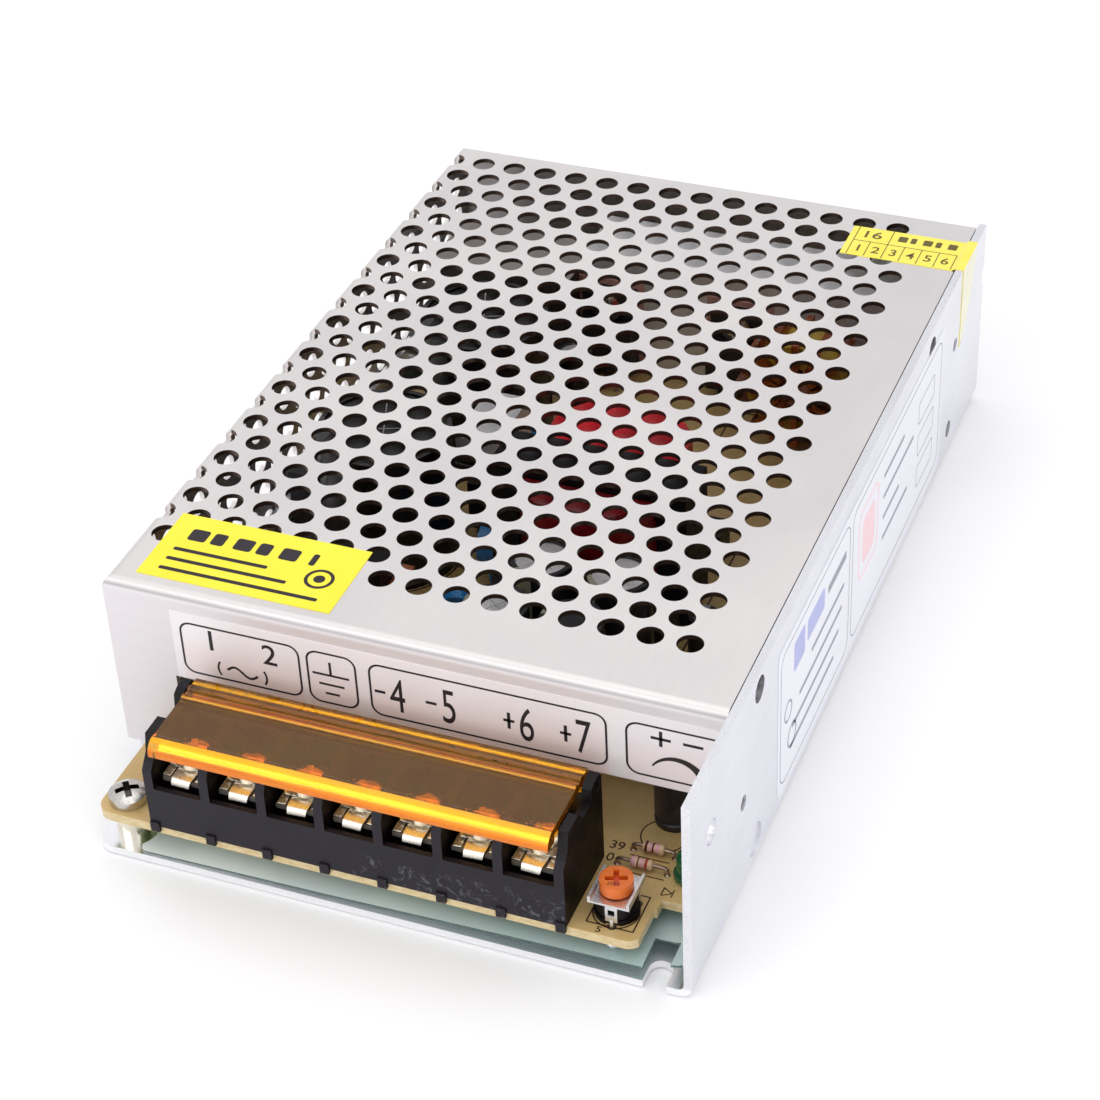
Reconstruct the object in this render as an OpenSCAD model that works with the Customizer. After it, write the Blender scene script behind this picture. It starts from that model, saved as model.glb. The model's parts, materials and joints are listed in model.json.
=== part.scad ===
// Mesh case switching power supply: a folded aluminium chassis and perforated
// cover, a phenolic board on standoffs, and a seven way barrier terminal strip
// with a hinged amber cover. Origin: middle of the footprint, on the bottom face.
// +Y runs from the terminal end to the back, +X towards the tall side wall.

/* [Case] */
// Length of the chassis, terminal end to back
case_l = 158; // [157:0.5:160]
// Width over the cover's left wall and the chassis side wall
case_w = 99.2; // [98.8:0.1:99.6]
// Height of the chassis side wall
wall_h = 35.7; // [35.5:0.1:36.5]
// Thickness of the chassis sheet
chassis_t = 1.3; // [1:0.1:1.4]
// Outer bend radius of the chassis
chassis_r = 2.3; // [2:0.1:2.6]
// Thickness of the cover sheet
cover_t = 0.8; // [0.6:0.1:1]
// Height of the cover's top face
cover_z = 35.3; // [35:0.1:35.5]
// Outer bend radius of the cover
cover_r = 1.6; // [1.4:0.1:2]
// Depth of the open ledge in front of the cover
ledge = 20.1; // [19.5:0.1:20.5]

/* [Perforation] */
// Distance between neighbouring holes
hole_pitch = 6; // [5.9:0.05:6.1]
// Diameter of the holes
hole_d = 4; // [3.6:0.1:4.2]

/* [Board] */
// Height of the board's underside
board_z = 5.9; // [5.7:0.1:6.2]
// Thickness of the board
board_t = 1.6; // [1.2:0.1:1.6]

/* [Terminal strip] */
// Number of terminals
ways = 7; // [5:1:7]
// Distance between neighbouring terminals
way_pitch = 9.15; // [9:0.05:9.3]
// Thickness of the barriers between terminals
barrier_t = 1.5; // [1.2:0.1:1.8]

/* [Hidden] */
$fn = 48;
e = 0.01;
x0 = -case_w / 2;             // left face of the cover
x1 = case_w / 2;              // outer face of the side wall
y0 = -case_l / 2;             // front edge of the chassis
y1 = case_l / 2;              // back edge of the side wall
cy0 = y0 + ledge;             // outer face of the front flap
cy1 = y1 - 0.2;               // outer face of the back flap
cx1 = x1 - chassis_t - 0.3;   // right edge of the cover
bx0 = x0 + 5;                 // left edge of the chassis ledge
fx0 = x0 + cover_t + 0.2;     // outer face of the left flange
fy1 = cy1 - cover_t - 0.2;    // outer face of the back flange
flap_z = 19.3;                // lower edge of the front flap
skirt_z = 4.1;                // lower edge of the cover's left and back walls
leg_x = x0 + 10.4;            // right edge of the front flap's leg
pt = board_z + board_t;       // top of the board
lx = x0 + 30.8;               // the hole pattern's origin
ly = y0 + 111.1;
row = hole_pitch * sqrt(3) / 2;
tb_w = ways * way_pitch + barrier_t;
tb_x0 = -1.9 - tb_w / 2;
tb_x1 = -1.9 + tb_w / 2;
tb_y0 = y0 + 0.4;
tb_y1 = tb_y0 + 15.3;
hinge = [tb_y0 + 13.7, 22.3]; // hinge line of the amber cover, in Y and Z
slot = [x1 - 5.65, y0 + 2.8]; // centre of the round end of the mounting slot
standoffs_at = [[-40.5, -74.7], [-40.5, 70], [41.5, 70], [42, -42]];
base_taps = [[-30, -50], [30, -50], [-30, 50], [30, 50]];
wall_taps = [[-56.4, 17.4], [59.9, 22.7]];
cover_fix_l = [-25, 47.7];    // Y of the cover screws in the left wall
cover_fix_b = [-24, 24];      // X of the cover screws in the back wall
trim = [36.4, -72.9];
led_at = [43.6, -63.9];
bulk_at = [[-25, 30], [-27.5, -6]];
out_caps = [[6.8, -24.2], [19.4, -24.2], [4.3, -37], [16.5, -37]];
blue_at = [[-12, 20.5, 0], [-9.4, -5.6, 90], [-8, -25, 20]];
small_caps = [[38, -52.4, 6.3, 11], [-6, -51, 6.3, 11], [31, -19, 5, 11], [-14, 43, 6.3, 12], [40, 22, 5, 11]];
// resistors lie along X: x, y, length of body, body diameter, lead span
resistors = [[37.5, -60.5, 3.4, 1.7, 6.4], [36.9, -64, 3.4, 1.7, 7.6], [12, -53.5, 6, 2.3, 10], [-20, -44.5, 6, 2.3, 10], [-14, 50, 6, 2.3, 10], [38, 5, 6, 2.3, 10], [38, -8, 6, 2.3, 10], [20, -49.5, 3.4, 1.7, 6.4]];
diodes = [[-36, 12.5, 7, 3.2, 11], [-2, 36, 7, 3.2, 11], [38, -1.5, 5, 2.7, 9]];
screw_in = 6.5;               // terminal screws back from the strip's front face
back_r = 0.9;                 // outer radius of the cover's back fold
sr = [27, 45];                // output inductor
tr = [9, -2];                 // transformer
core_in = 4;                  // its core sits this far in front of the bobbin's middle
ck = [-24.4, -33];              // line filter choke
xc = [-31, 58];               // line filter capacitor
hs = [-12, 6];               // small heat sink
bar_y = 57;                   // back heat sink

// ---- helpers ----
module yz(x, w) { translate([x, 0, 0]) rotate([90, 0, 90]) linear_extrude(w) children(); }
module xz(y, l) { translate([0, y + l, 0]) rotate([90, 0, 0]) linear_extrude(l) children(); }
// quarter ring, centre at the origin, in the quadrant given by the two signs
module bend(ro, ri, sx, sy) {
    intersection() {
        difference() { circle(ro); circle(ri); }
        translate([sx > 0 ? 0 : -ro - 1, sy > 0 ? 0 : -ro - 1]) square(ro + 1);
    }
}
module rounded(x, y, w, l, r) {
    translate([x + r, y]) square([w - 2 * r, l]);
    translate([x, y + r]) square([w, l - 2 * r]);
    for (a = [x + r, x + w - r], b = [y + r, y + l - r]) translate([a, b]) circle(r);
}
// pan head screw, axis along -Z, head resting on z = 0
module pan_screw(d, l, hd, hh) {
    difference() {
        union() {
            intersection() {
                cylinder(d = hd, h = hh);
                translate([0, 0, hh - hd * 0.95]) sphere(hd * 0.95);
            }
            translate([0, 0, -l]) cylinder(d = d, h = l + e);
        }
        for (a = [0, 90]) rotate([0, 0, a]) translate([-hd * 0.31, -hd * 0.085, hh * 0.45]) cube([hd * 0.62, hd * 0.17, hh]);
    }
}
module lead(x, y, d = 0.8, top = 0.5) { translate([x, y, board_z - 1.4]) cylinder(d = d, h = board_t + 1.4 + top); }
module lead_hole(x, y, d = 0.8) { translate([x, y, board_z - 1]) cylinder(d = d + 0.3, h = board_t + 2); }

// ---- chassis: one folded sheet ----
module wall_profile() {
    translate([x1 - chassis_t, chassis_r]) square([chassis_t, wall_h - chassis_r]);
    translate([x1 - chassis_r, chassis_r]) bend(chassis_r, chassis_r - chassis_t, 1, -1);
}
module chassis() {
    color("gainsboro") difference() {
        union() {
            // side wall, full length, with its bend
            xz(y0, case_l) wall_profile();
            // floor
            linear_extrude(chassis_t) {
                rounded(bx0, y0, 20, 30, 2.5);
                translate([bx0 + 5, y0]) square([x1 - chassis_r - bx0 - 5 + e, 30]);
                translate([fx0 + chassis_r, cy0 + 1.5]) square([x1 - chassis_r - fx0 - chassis_r + e, fy1 - chassis_r - cy0 - 1.5 + e]);
            }
            // left flange
            xz(cy0 + 1.5, fy1 - chassis_r - 1 - cy0 - 1.5) {
                translate([fx0 + chassis_r, chassis_r]) bend(chassis_r, chassis_r - chassis_t, -1, -1);
                translate([fx0, chassis_r]) square([chassis_t, 10]);
            }
            // back flange
            yz(fx0 + chassis_r + 1, x1 - chassis_r - fx0 - chassis_r - 3) {
                translate([fy1 - chassis_r, chassis_r]) bend(chassis_r, chassis_r - chassis_t, 1, -1);
                translate([fy1 - chassis_t, chassis_r]) square([chassis_t, 10]);
            }
            // drawn collars of the threaded holes
            for (p = base_taps) translate([p[0], p[1], chassis_t - e]) cylinder(d = 4.2, h = 1.2);
            for (p = wall_taps) translate([x1 - chassis_t + e, p[0], p[1]]) rotate([0, -90, 0]) cylinder(d = 4.2, h = 1.2);
            // pressed dimple on the inside of the wall
            translate([x1 - chassis_t + e, -50.7, 5.4]) rotate([0, -90, 0]) cylinder(d = 5.8, h = 0.4);
        }
        // open ended mounting slot in the front edge
        translate([slot[0], slot[1], -1]) cylinder(r = 1.75, h = chassis_t + 2);
        translate([slot[0] - 1.75, y0 - 1, -1]) cube([3.5, slot[1] - y0 + 1, chassis_t + 2]);
        // threaded holes in the floor and the wall
        for (p = base_taps) translate([p[0], p[1], -1]) cylinder(d = 2.5, h = 6);
        for (p = wall_taps) translate([x1 + 1, p[0], p[1]]) rotate([0, -90, 0]) cylinder(d = 2.5, h = 6);
        // plain holes in the wall
        for (p = [[-70.4, 24.2, 4], [-49.1, 32.6, 4.2], [43.7, 32, 4], [58, 6.5, 3]])
            translate([x1 + 1, p[0], p[1]]) rotate([0, -90, 0]) cylinder(d = p[2], h = 4);
        translate([x1 + 1, -50.7, 5.4]) rotate([0, -90, 0]) cylinder(d = 5.4, h = 1.4);
        // notch in the wall's back edge
        translate([x1 - 3, y1 - 0.9, 23.8]) cube([4, 2, 3.2]);
        // holes for the standoffs and the cover screws
        for (p = standoffs_at) translate([p[0], p[1], -1]) cylinder(d = 3.6, h = chassis_t + 2);
        for (y = cover_fix_l) translate([fx0 - 1, y, 8]) rotate([0, 90, 0]) cylinder(d = 2.6, h = 4);
        for (x = cover_fix_b) translate([x, fy1 + 1, 8]) rotate([90, 0, 0]) cylinder(d = 2.6, h = 4);
    }
}

// ---- cover: one folded, perforated sheet ----
module cover_side(d) {          // section across X: left wall and top
    r = cover_r - d;
    translate([x0 + cover_r, 0]) square([case_w, cover_z - d]);
    translate([x0 + d, 0]) square([case_w, cover_z - cover_r]);
    translate([x0 + cover_r, cover_z - cover_r]) circle(r);
}
module cover_end(d) {           // section across Y: both flaps and top
    translate([cy0 + cover_r, 0]) square([cy1 - cy0 - cover_r - back_r, cover_z - d]);
    translate([cy0 + d, 0]) square([cy1 - cy0 - 2 * d, cover_z - cover_r]);
    translate([cy1 - 4, 0]) square([4 - d, cover_z - back_r]);
    translate([cy0 + cover_r, cover_z - cover_r]) circle(cover_r - d);
    translate([cy1 - back_r, cover_z - back_r]) circle(back_r - d);
}
module top_holes() {
    for (j = [-8:15], i = [-5:9]) {
        u = i + (j % 2 != 0 ? 0.5 : 0);
        if (u > -4.9 && u < 9.6) translate([lx + u * hole_pitch, ly - j * row, cover_z - cover_t - 1]) cylinder(d = hole_d, h = cover_t + 2);
    }
}
module fold_holes() {
    for (j = [-8:2:15]) translate([lx - 5 * hole_pitch, ly - j * row, cover_z - 2.1]) cylinder(d = hole_d, h = 4);
}
module side_holes() {
    for (j = [-8:15], k = [0:4]) {
        v = (j % 2 != 0 ? 3.1 : 6.1) + k * hole_pitch;
        if (v < cover_z - skirt_z - 6) translate([x0 - 1, ly - j * row, cover_z - v]) rotate([0, 90, 0]) cylinder(d = hole_d, h = cover_t + 2);
    }
}
module cover() {
    color("silver") difference() {
        intersection() {
            xz(cy0 - 1, case_l) cover_side(0);
            yz(x0 - 1, cx1 - x0 + 1) cover_end(0);
        }
        intersection() {
            xz(cy0 - 2, case_l + 4) cover_side(cover_t);
            yz(x0 - 2, case_w + 5) cover_end(cover_t);
        }
        // lower edges: high over the terminals, low on the leg, the left and the back
        translate([x0 - 5, cy0 - 5, -1]) cube([case_w + 10, case_l + 10, skirt_z + 1]);
        translate([leg_x, cy0 - 5, -1]) cube([case_w, 9, flap_z + 1]);
        top_holes();
        fold_holes();
        side_holes();
        for (y = cover_fix_l) translate([x0 - e, y, 8]) rotate([0, 90, 0]) cylinder(d1 = 5.7, d2 = 3.9, h = cover_t + 2 * e);
        for (x = cover_fix_b) translate([x, cy1 + e, 8]) rotate([90, 0, 0]) cylinder(d1 = 5.7, d2 = 3.9, h = cover_t + 2 * e);
    }
}
module film_profile() {
    t = 0.3;
    xr = x1 - chassis_t - 0.5;
    polygon([[-37.5, 1.45], [-6, 2], [24, 2.9], [45, 3.4], [xr - 0.3, 4], [xr, 4.6], [xr, 14],
        [xr - t, 14], [xr - t, 4.75], [xr - 0.6, 4.2 + t / 2], [45, 3.4 + t], [24, 2.9 + t], [-6, 2 + t], [-37.5, 1.45 + t]]);
}
module insulating_film() {
    color("lightslategray") difference() {
        xz(y0 + 0.3, case_l - 4.3) film_profile();
        // trimmed front corners and the cut-out round the slot
        translate([slot[0] - 2, y0, 0]) cube([3.9, 6.2, 6]);
        translate([slot[0] + 1.8, y0 - 1, 0]) cube([8, 2.6, 6]);
        translate([slot[0] - 2, y0 - 1, 4.5]) cube([12, 9.5, 20]);
        difference() {
            translate([-38.5, y0 - 1, 0]) cube([2.3, 2.6, 6]);
            translate([-36.2, y0 + 1.6, 0]) cylinder(r = 1.3, h = 6);
        }
        for (p = standoffs_at) translate([p[0], p[1], 0]) cylinder(d = 8, h = 5.5);
        for (p = base_taps) translate([p[0], p[1], 0]) cylinder(d = 6, h = 5.5);
    }
}

// ---- board and fixings ----
module circuit_board() {
    color("burlywood") difference() {
        translate([0, 0, board_z]) linear_extrude(board_t) difference() {
            union() {
                rounded(x0 + 5.3, y0 + 0.7, 86, 40, 2.5);
                translate([x0 + 5.3, y0 + 10]) square([x1 - chassis_t - 1.1 - x0 - 5.3, case_l - 14.8]);
            }
            translate([x1 - 8.4, y0 - 1]) square([12, 8.8]);
            // notch for the cover's leg
            translate([x0 + 4, cy0 - 0.3]) square([leg_x + 0.3 - x0 - 4, cover_t + 0.6]);
        }
        for (p = standoffs_at) translate([p[0], p[1], board_z - 1]) cylinder(d = 3.3, h = 5);
        all_leads() lead_hole($p[0], $p[1], $p[2]);
    }
}
module all_leads() {
    for (i = [0:ways - 1]) { $p = [way_x(i), tb_y0 + 10.5, 1.2]; children(); }
    for (s = [-1, 1]) { $p = [trim[0] + s * 2.4, trim[1] + 2.2, 0.9]; children(); }
    { $p = [trim[0] + 0.4, trim[1] - 3.3, 1.1]; children(); }
    for (s = [-1, 1]) { $p = [led_at[0], led_at[1] + s * 1.27, 0.6]; children(); }
    for (c = small_caps, s = [-1, 1]) { $p = [c[0] + s * 1.25, c[1], 0.6]; children(); }
    for (c = concat(resistors, diodes), s = [-1, 1]) { $p = [c[0] + s * c[4] / 2, c[1], 0.7]; children(); }
    for (c = bulk_at, s = [-1, 1]) { $p = [c[0] + s * 5, c[1], 1.4]; children(); }
    for (c = out_caps, s = [-1, 1]) { $p = [c[0] + s * 2.5, c[1], 0.7]; children(); }
    for (c = blue_at, s = [-1, 1]) { $p = [c[0] + s * 2.5 * cos(c[2]), c[1] + s * 2.5 * sin(c[2]), 0.6]; children(); }
    for (a = [-12.5, -7.5, -2.5, 2.5, 7.5, 12.5], s = [-1, 1]) { $p = [tr[0] + a, tr[1] + s * 13, 0.9]; children(); }
    for (a = [-6, 6], s = [-1, 1]) { $p = [ck[0] + a, ck[1] + s * 6.5, 0.9]; children(); }
    for (s = [-1, 1]) { $p = [xc[0] + s * 10, xc[1] + 2, 0.9]; children(); }
    for (s = [-1, 1]) { $p = [sr[0] + s * 4.1, sr[1], 1.2]; children(); }
    for (a = [-5.7, -1.9, 1.9, 5.7]) { $p = [-43.2, 0 + a, 0.9]; children(); }
    for (s = [-1, 1]) { $p = [-24 + s * 2.5, -52, 0.9]; children(); }
    for (y = [-54, -37]) { $p = [-39.5, y, 1.2]; children(); }
    for (x = to_x, a = [-2.54, 0, 2.54]) { $p = [x + a, bar_y - 4.2, 0.9]; children(); }
    for (a = [-2.54, 0, 2.54]) { $p = [hs[0] - 4.2, hs[1] + a, 0.9]; children(); }
    for (a = [0:3], s = [-1, 1]) { $p = [28 + (a - 1.5) * 2.54, -42 + s * 3.8, 0.5]; children(); }
    for (a = [0:1], s = [-1, 1]) { $p = [38 + (a - 0.5) * 2.54, -20 + s * 3.8, 0.5]; children(); }
}
to_x = [-12, 12];
module board_standoffs() {
    color("silver") for (p = standoffs_at) translate([p[0], p[1], 0]) difference() {
        union() {
            translate([0, 0, 0.1]) cylinder(d = 3.5, h = chassis_t);
            translate([0, 0, chassis_t]) cylinder(d = 4.8, h = board_z - chassis_t);
        }
        translate([0, 0, 0.9]) cylinder(d = 2.6, h = board_z);
    }
}
module board_screws() {
    color("silver") for (p = standoffs_at) translate([p[0], p[1], pt]) rotate([0, 0, 38]) pan_screw(2.5, 5, 5.8, 2.3);
}
module sunk_screw() {
    difference() {
        union() {
            cylinder(d1 = 5.5, d2 = 3.7, h = cover_t);
            translate([0, 0, cover_t - e]) cylinder(d = 2.5, h = 3.2);
        }
        for (a = [0, 90]) rotate([0, 0, a]) translate([-1.5, -0.4, -e]) cube([3, 0.8, 0.6]);
    }
}
module cover_screws() {
    color("silver") {
        for (y = cover_fix_l) translate([x0, y, 8]) rotate([0, 90, 0]) sunk_screw();
        for (x = cover_fix_b) translate([x, cy1, 8]) rotate([90, 0, 0]) sunk_screw();
    }
}

// ---- labels ----
module front_label() { color("white") yz(-38.6, cx1 + 38.6) translate([cy0 - 0.12, flap_z + 0.2]) square([0.12, 12.6]); }
module yellow_label() { color("yellow") translate([-45.3, -55.9, cover_z]) cube([31.7, 15.4, 0.1]); }
module seal_label() {
    color("gold") intersection() {
        xz(62.5, 11) polygon([[27.8, cover_z], [cx1 - 0.5, cover_z], [x1 - chassis_t - 0.02, wall_h], [x1, wall_h], [x1, 18], [x1 + 0.1, 18],
            [x1 + 0.1, wall_h + 0.1], [x1 - chassis_t - 0.1, wall_h + 0.1], [cx1 - 0.5, cover_z + 0.1], [27.8, cover_z + 0.1]]);
        yz(0, 60) polygon([[63, 40], [73, 40], [72.6, wall_h], [69.5, 27.5], [63.5, 20.4], [62.8, 20.4], [63, wall_h]]);
    }
}
module side_label() { color("white") yz(x1, 0.1) rounded(-40.5, 3.6, 92, 28, 1.5); }

// ---- terminal strip ----
function way_x(i) = tb_x0 + barrier_t / 2 + (i + 0.5) * way_pitch;
module end_profile() {
    polygon([[tb_y0, pt], [tb_y0, 18.2], [tb_y0 + 1.8, 20.4], [tb_y0 + 2.4, 23.4], [tb_y0 + 6.3, 23.4], [tb_y0 + 8, 21.3], [tb_y0 + 11.1, 21.3],
        [tb_y0 + 11.4, 23.5], [tb_y0 + 12.6, 24.1], [tb_y0 + 14.6, 24.1], [tb_y1, 23.1], [tb_y1, pt]]);
}
module barrier_profile() {
    polygon([[tb_y0, pt], [tb_y0, 19.3], [tb_y0 + 0.9, 21.1], [tb_y0 + 11, 21.1], [tb_y0 + 11, pt]]);
}
module terminal_block() {
    color([0.14, 0.13, 0.15]) difference() {
        union() {
            translate([tb_x0, tb_y0, pt]) cube([tb_w, 15.3, 5.2]);
            translate([tb_x0, tb_y0, pt]) cube([tb_w, 0.9, 7.4]);
            translate([tb_x0, tb_y0 + 10.9, pt]) cube([tb_w, 4.4, 12.3]);
            for (i = [1:ways - 1]) yz(tb_x0 + i * way_pitch, barrier_t) barrier_profile();
            for (x = [tb_x0, tb_x1 - barrier_t]) yz(x, barrier_t) end_profile();
            for (i = [0:ways - 1]) translate([way_x(i) - 2.7, tb_y0 + 2.6, pt + 5]) cube([5.4, 9, 2.5]);
            // feet that overhang the board's front edge
            for (i = [0:ways]) translate([tb_x0 + i * way_pitch - 0.1 * (i == ways ? 1 : 0) + 0.05, tb_y0 - 0.3, pt - 0.9]) cube([barrier_t, 0.5, 1.8]);
        }
        for (s = [tb_x0 - 1, tb_x1 - barrier_t - 1]) translate([s, hinge[0], hinge[1]]) rotate([0, 90, 0]) cylinder(d = 1.64, h = barrier_t + 2);
        for (i = [0:ways - 1]) {
            translate([way_x(i), tb_y0 + screw_in, pt + 2.5]) cylinder(d = 3.6, h = 12);
            translate([way_x(i), tb_y0 + 10.5, pt - 1]) cylinder(d = 1.5, h = 20);
            translate([way_x(i) - 1.5, tb_y0 + 9.2, pt + 7.5]) cube([3, 2.6, 7]);
        }
        // hollows under the housing
        for (i = [0:ways - 1]) translate([way_x(i) - 3.2, tb_y0 + 12, pt - e]) cube([6.4, 2.2, 9]);
    }
}
module terminal_contacts() {
    color("gainsboro") for (i = [0:ways - 1]) translate([way_x(i), tb_y0, pt]) difference() {
        union() {
            translate([-3.4, 2.2, 7.5]) cube([6.8, 6.9, 0.8]);
            translate([-1.3, 8.9, 7.5]) cube([2.6, 2.2, 0.8]);
            translate([0, 10.5, -board_t - 1.4]) cylinder(d = 1.2, h = board_t + 1.4 + 8.2);
        }
        translate([0, screw_in, 0]) cylinder(d = 3.4, h = 20);
    }
}
module terminal_clamps() {
    color("silver") for (i = [0:ways - 1]) translate([way_x(i), tb_y0 + screw_in, pt + 8.4]) rotate([0, 0, (i % 3 - 1) * 1.5]) difference() {
        union() {
            translate([-3.4, -1.8, 0]) cube([6.8, 5.1, 0.7]);
            translate([-3.4, -4.2, 0]) cube([1.3, 3, 0.4]);
            translate([2, -4.2, 0]) cube([1.4, 3, 0.4]);
            // tongue between the legs, bent down at its end
            translate([-1.7, -5, 0]) cube([3.3, 3.5, 0.4]);
            translate([-1.7, -5, -0.9]) cube([3.3, 0.5, 1.1]);
        }
        translate([0, 0, -1]) cylinder(d = 3.5, h = 3);
    }
}
module terminal_screws() {
    color("silver") for (i = [0:ways - 1]) translate([way_x(i), tb_y0 + screw_in, pt + 9.1]) rotate([0, 0, 25 + i * 37]) pan_screw(3.3, 4.8, 5.6, 2);
}
module terminal_cover() {
    w = tb_w - 2 * barrier_t - 0.8;
    color([0.95, 0.6, 0.1, 0.6]) {
        yz(tb_x0 + barrier_t + 0.4, w) {
            y = tb_y0;
            translate([y + 0.9, 22.9]) square([14.2, 1.2]);
            // rounded front lip
            intersection() {
                translate([y + 1.3, 22.3]) circle(1.9);
                translate([y - 1, 21.7]) square([2.9, 2.5]);
            }
            translate([y + 0.4, 21.7]) square([1.5, 2]);
            // ribs near the hinge
            translate([y + 10.7, 24]) circle(0.55);
            translate([y + 12.7, 24]) circle(0.55);
            // hinge barrel
            translate([hinge[0], hinge[1]]) circle(1.3);
            translate([hinge[0] - 1.3, hinge[1]]) square([2.6, 1.6]);
        }
        translate([tb_x0 + barrier_t - 0.8, hinge[0], hinge[1]]) rotate([0, 90, 0]) cylinder(d = 1.5, h = w + 2.4);
    }
}

// ---- trimmer and indicator ----
module trimmer_base() {
    color([0.15, 0.14, 0.14]) translate([trim[0], trim[1], pt]) difference() {
        union() {
            cylinder(d = 6.6, h = 0.9);
            cylinder(d = 6, h = 3.7);
        }
        translate([0, 0, 1]) cylinder(d = 1.55, h = 4);
        translate([-0.7, -3.8, -1]) cube([2.2, 0.9, 6]);
        for (s = [-1, 1]) translate([s * 2.4, 2.2, -1]) cylinder(d = 0.8, h = 6);
    }
}
module trimmer_frame() {
    color("silver") translate([trim[0], trim[1], 0]) {
        difference() {
            union() {
                translate([-3.1, -3.5, pt + 3.8]) cube([6.2, 6.8, 0.35]);
                for (s = [-2.9, 2.9]) translate([s - 0.2, -3.5, pt + 3.8]) cube([0.4, 6.8, 1.1]);
            }
            translate([0, 0, pt]) cylinder(d = 1.56, h = 8);
        }
        // front tab with its window
        difference() {
            translate([-0.5, -3.5, pt + 1]) cube([1.8, 0.35, 3]);
            translate([-0.1, -4, pt + 2.2]) cube([1, 1.2, 1]);
        }
        translate([0.4, -3.3, board_z - 1.8]) cylinder(d = 0.7, h = board_t + 1.8 + 1.2);
        for (s = [-1, 1]) translate([s * 2.4, 2.2, board_z - 1.4]) cylinder(d = 0.6, h = board_t + 1.4 + 3.9);
    }
}
module trimmer_rotor() {
    color("darkorange") translate([trim[0], trim[1], pt]) difference() {
        union() {
            translate([0, 0, 4.4]) cylinder(d = 4.9, h = 1.8);
            translate([0, 0, 1.2]) cylinder(d = 1.4, h = 3.3);
        }
        for (a = [0, 90]) rotate([0, 0, a + 20]) translate([-1.6, -0.4, 5.4]) cube([3.2, 0.8, 2]);
    }
}
module indicator_led() {
    color("green") translate([led_at[0], led_at[1], 0]) {
        translate([0, 0, pt + 0.6]) cylinder(d = 3.8, h = 0.9);
        translate([0, 0, pt + 1]) cylinder(d = 3, h = 3);
        translate([0, 0, pt + 4]) sphere(1.5);
        for (s = [-1, 1]) translate([0, s * 1.27, board_z - 1.4]) cylinder(d = 0.5, h = board_t + 1.4 + 1);
    }
}

// ---- small parts ----
module axial(c, lift) {
    translate([c[0], c[1], pt + lift]) {
        rotate([0, 90, 0]) translate([0, 0, -c[2] / 2]) cylinder(d = c[3], h = c[2]);
        rotate([0, 90, 0]) translate([0, 0, -c[4] / 2]) cylinder(d = 0.5, h = c[4]);
    }
    for (s = [-1, 1]) translate([c[0] + s * c[4] / 2, c[1], board_z - 1.4]) cylinder(d = 0.6, h = board_t + 1.4 + lift + 0.2);
}
module small_resistors() { color("rosybrown") for (c = resistors) axial(c, c[3] / 2 + 0.3); }
module small_diodes() { color("dimgray") for (c = diodes) axial(c, c[3] / 2 + 0.3); }
module can(x, y, d, h, gap, ld) {
    translate([x, y, pt]) difference() {
        union() {
            cylinder(d = d, h = h);
            for (s = [-1, 1]) translate([s * gap, 0, -board_t - 1.4]) cylinder(d = ld, h = board_t + 1.5);
        }
        translate([0, 0, 1.4]) rotate_extrude() translate([d / 2 + 0.2, 0]) circle(d = 1.1);
        translate([0, 0, h - 0.35]) cylinder(d = d - 1.6, h = 1);
    }
}
module small_capacitors() { color([0.12, 0.12, 0.14]) for (c = small_caps) can(c[0], c[1], c[2], c[3], 1.25, 0.5); }
module bulk_capacitors() { color([0.1, 0.1, 0.11]) for (c = bulk_at) can(c[0], c[1], 22, 25, 5, 1.2); }
module output_capacitors() { color([0.12, 0.12, 0.14]) for (c = out_caps) can(c[0], c[1], 10, 20, 2.5, 0.6); }
module disc_capacitors() {
    color("royalblue") for (c = blue_at) translate([c[0], c[1], 0]) rotate([0, 0, c[2]]) {
        translate([0, 0, pt + 6.2]) rotate([90, 0, 0]) translate([0, 0, -1.6]) cylinder(d = 8.4, h = 3.2);
        for (s = [-1, 1]) translate([s * 2.5, 0, board_z - 1.4]) cylinder(d = 0.6, h = board_t + 1.4 + 3.4);
    }
}
module fuse() {
    color("whitesmoke") translate([-39.5, -45.5, pt + 5]) rotate([90, 0, 0]) {
        translate([0, 0, -10]) cylinder(d = 4.8, h = 20);
        for (z = [-10, 4.8]) translate([0, 0, z]) cylinder(d = 5.2, h = 5.2);
    }
}
module fuse_clips() {
    color("silver") for (y = [-54, -37]) translate([-39.5, y, 0]) {
        difference() {
            translate([-3.4, -1.8, pt + 0.4]) cube([6.8, 3.6, 6.4]);
            translate([0, 3, pt + 5]) rotate([90, 0, 0]) cylinder(d = 5.8, h = 6);
            translate([-2.3, -3, pt + 5]) cube([4.6, 6, 4]);
        }
        translate([0, 0, board_z - 1.4]) cylinder(d = 1, h = board_t + 1.4 + 0.8);
    }
}
module inrush_thermistor() {
    color("darkolivegreen") translate([-24, -52, 0]) {
        translate([0, 0, pt + 7.4]) rotate([90, 0, 0]) translate([0, 0, -2]) cylinder(d = 10, h = 4);
        for (s = [-1, 1]) translate([s * 2.5, 0, board_z - 1.4]) cylinder(d = 0.8, h = board_t + 1.4 + 4);
    }
}
module filter_capacitor() {
    color("lightgray") {
        translate([xc[0] - 13, xc[1] - 7.5, pt + 0.3]) linear_extrude(20) rounded(0, 0, 26, 15, 1);
        for (s = [-1, 1]) translate([xc[0] + s * 10, xc[1] + 2, board_z - 1.4]) cylinder(d = 0.8, h = board_t + 1.4 + 0.6);
    }
}
module choke_core() {
    color([0.2, 0.2, 0.21]) translate([ck[0], ck[1], pt + 1.2]) difference() {
        translate([-9, -2.6, 0]) cube([18, 5.2, 19]);
        translate([-4.4, -3, 4]) cube([8.8, 6, 11]);
    }
}
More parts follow.
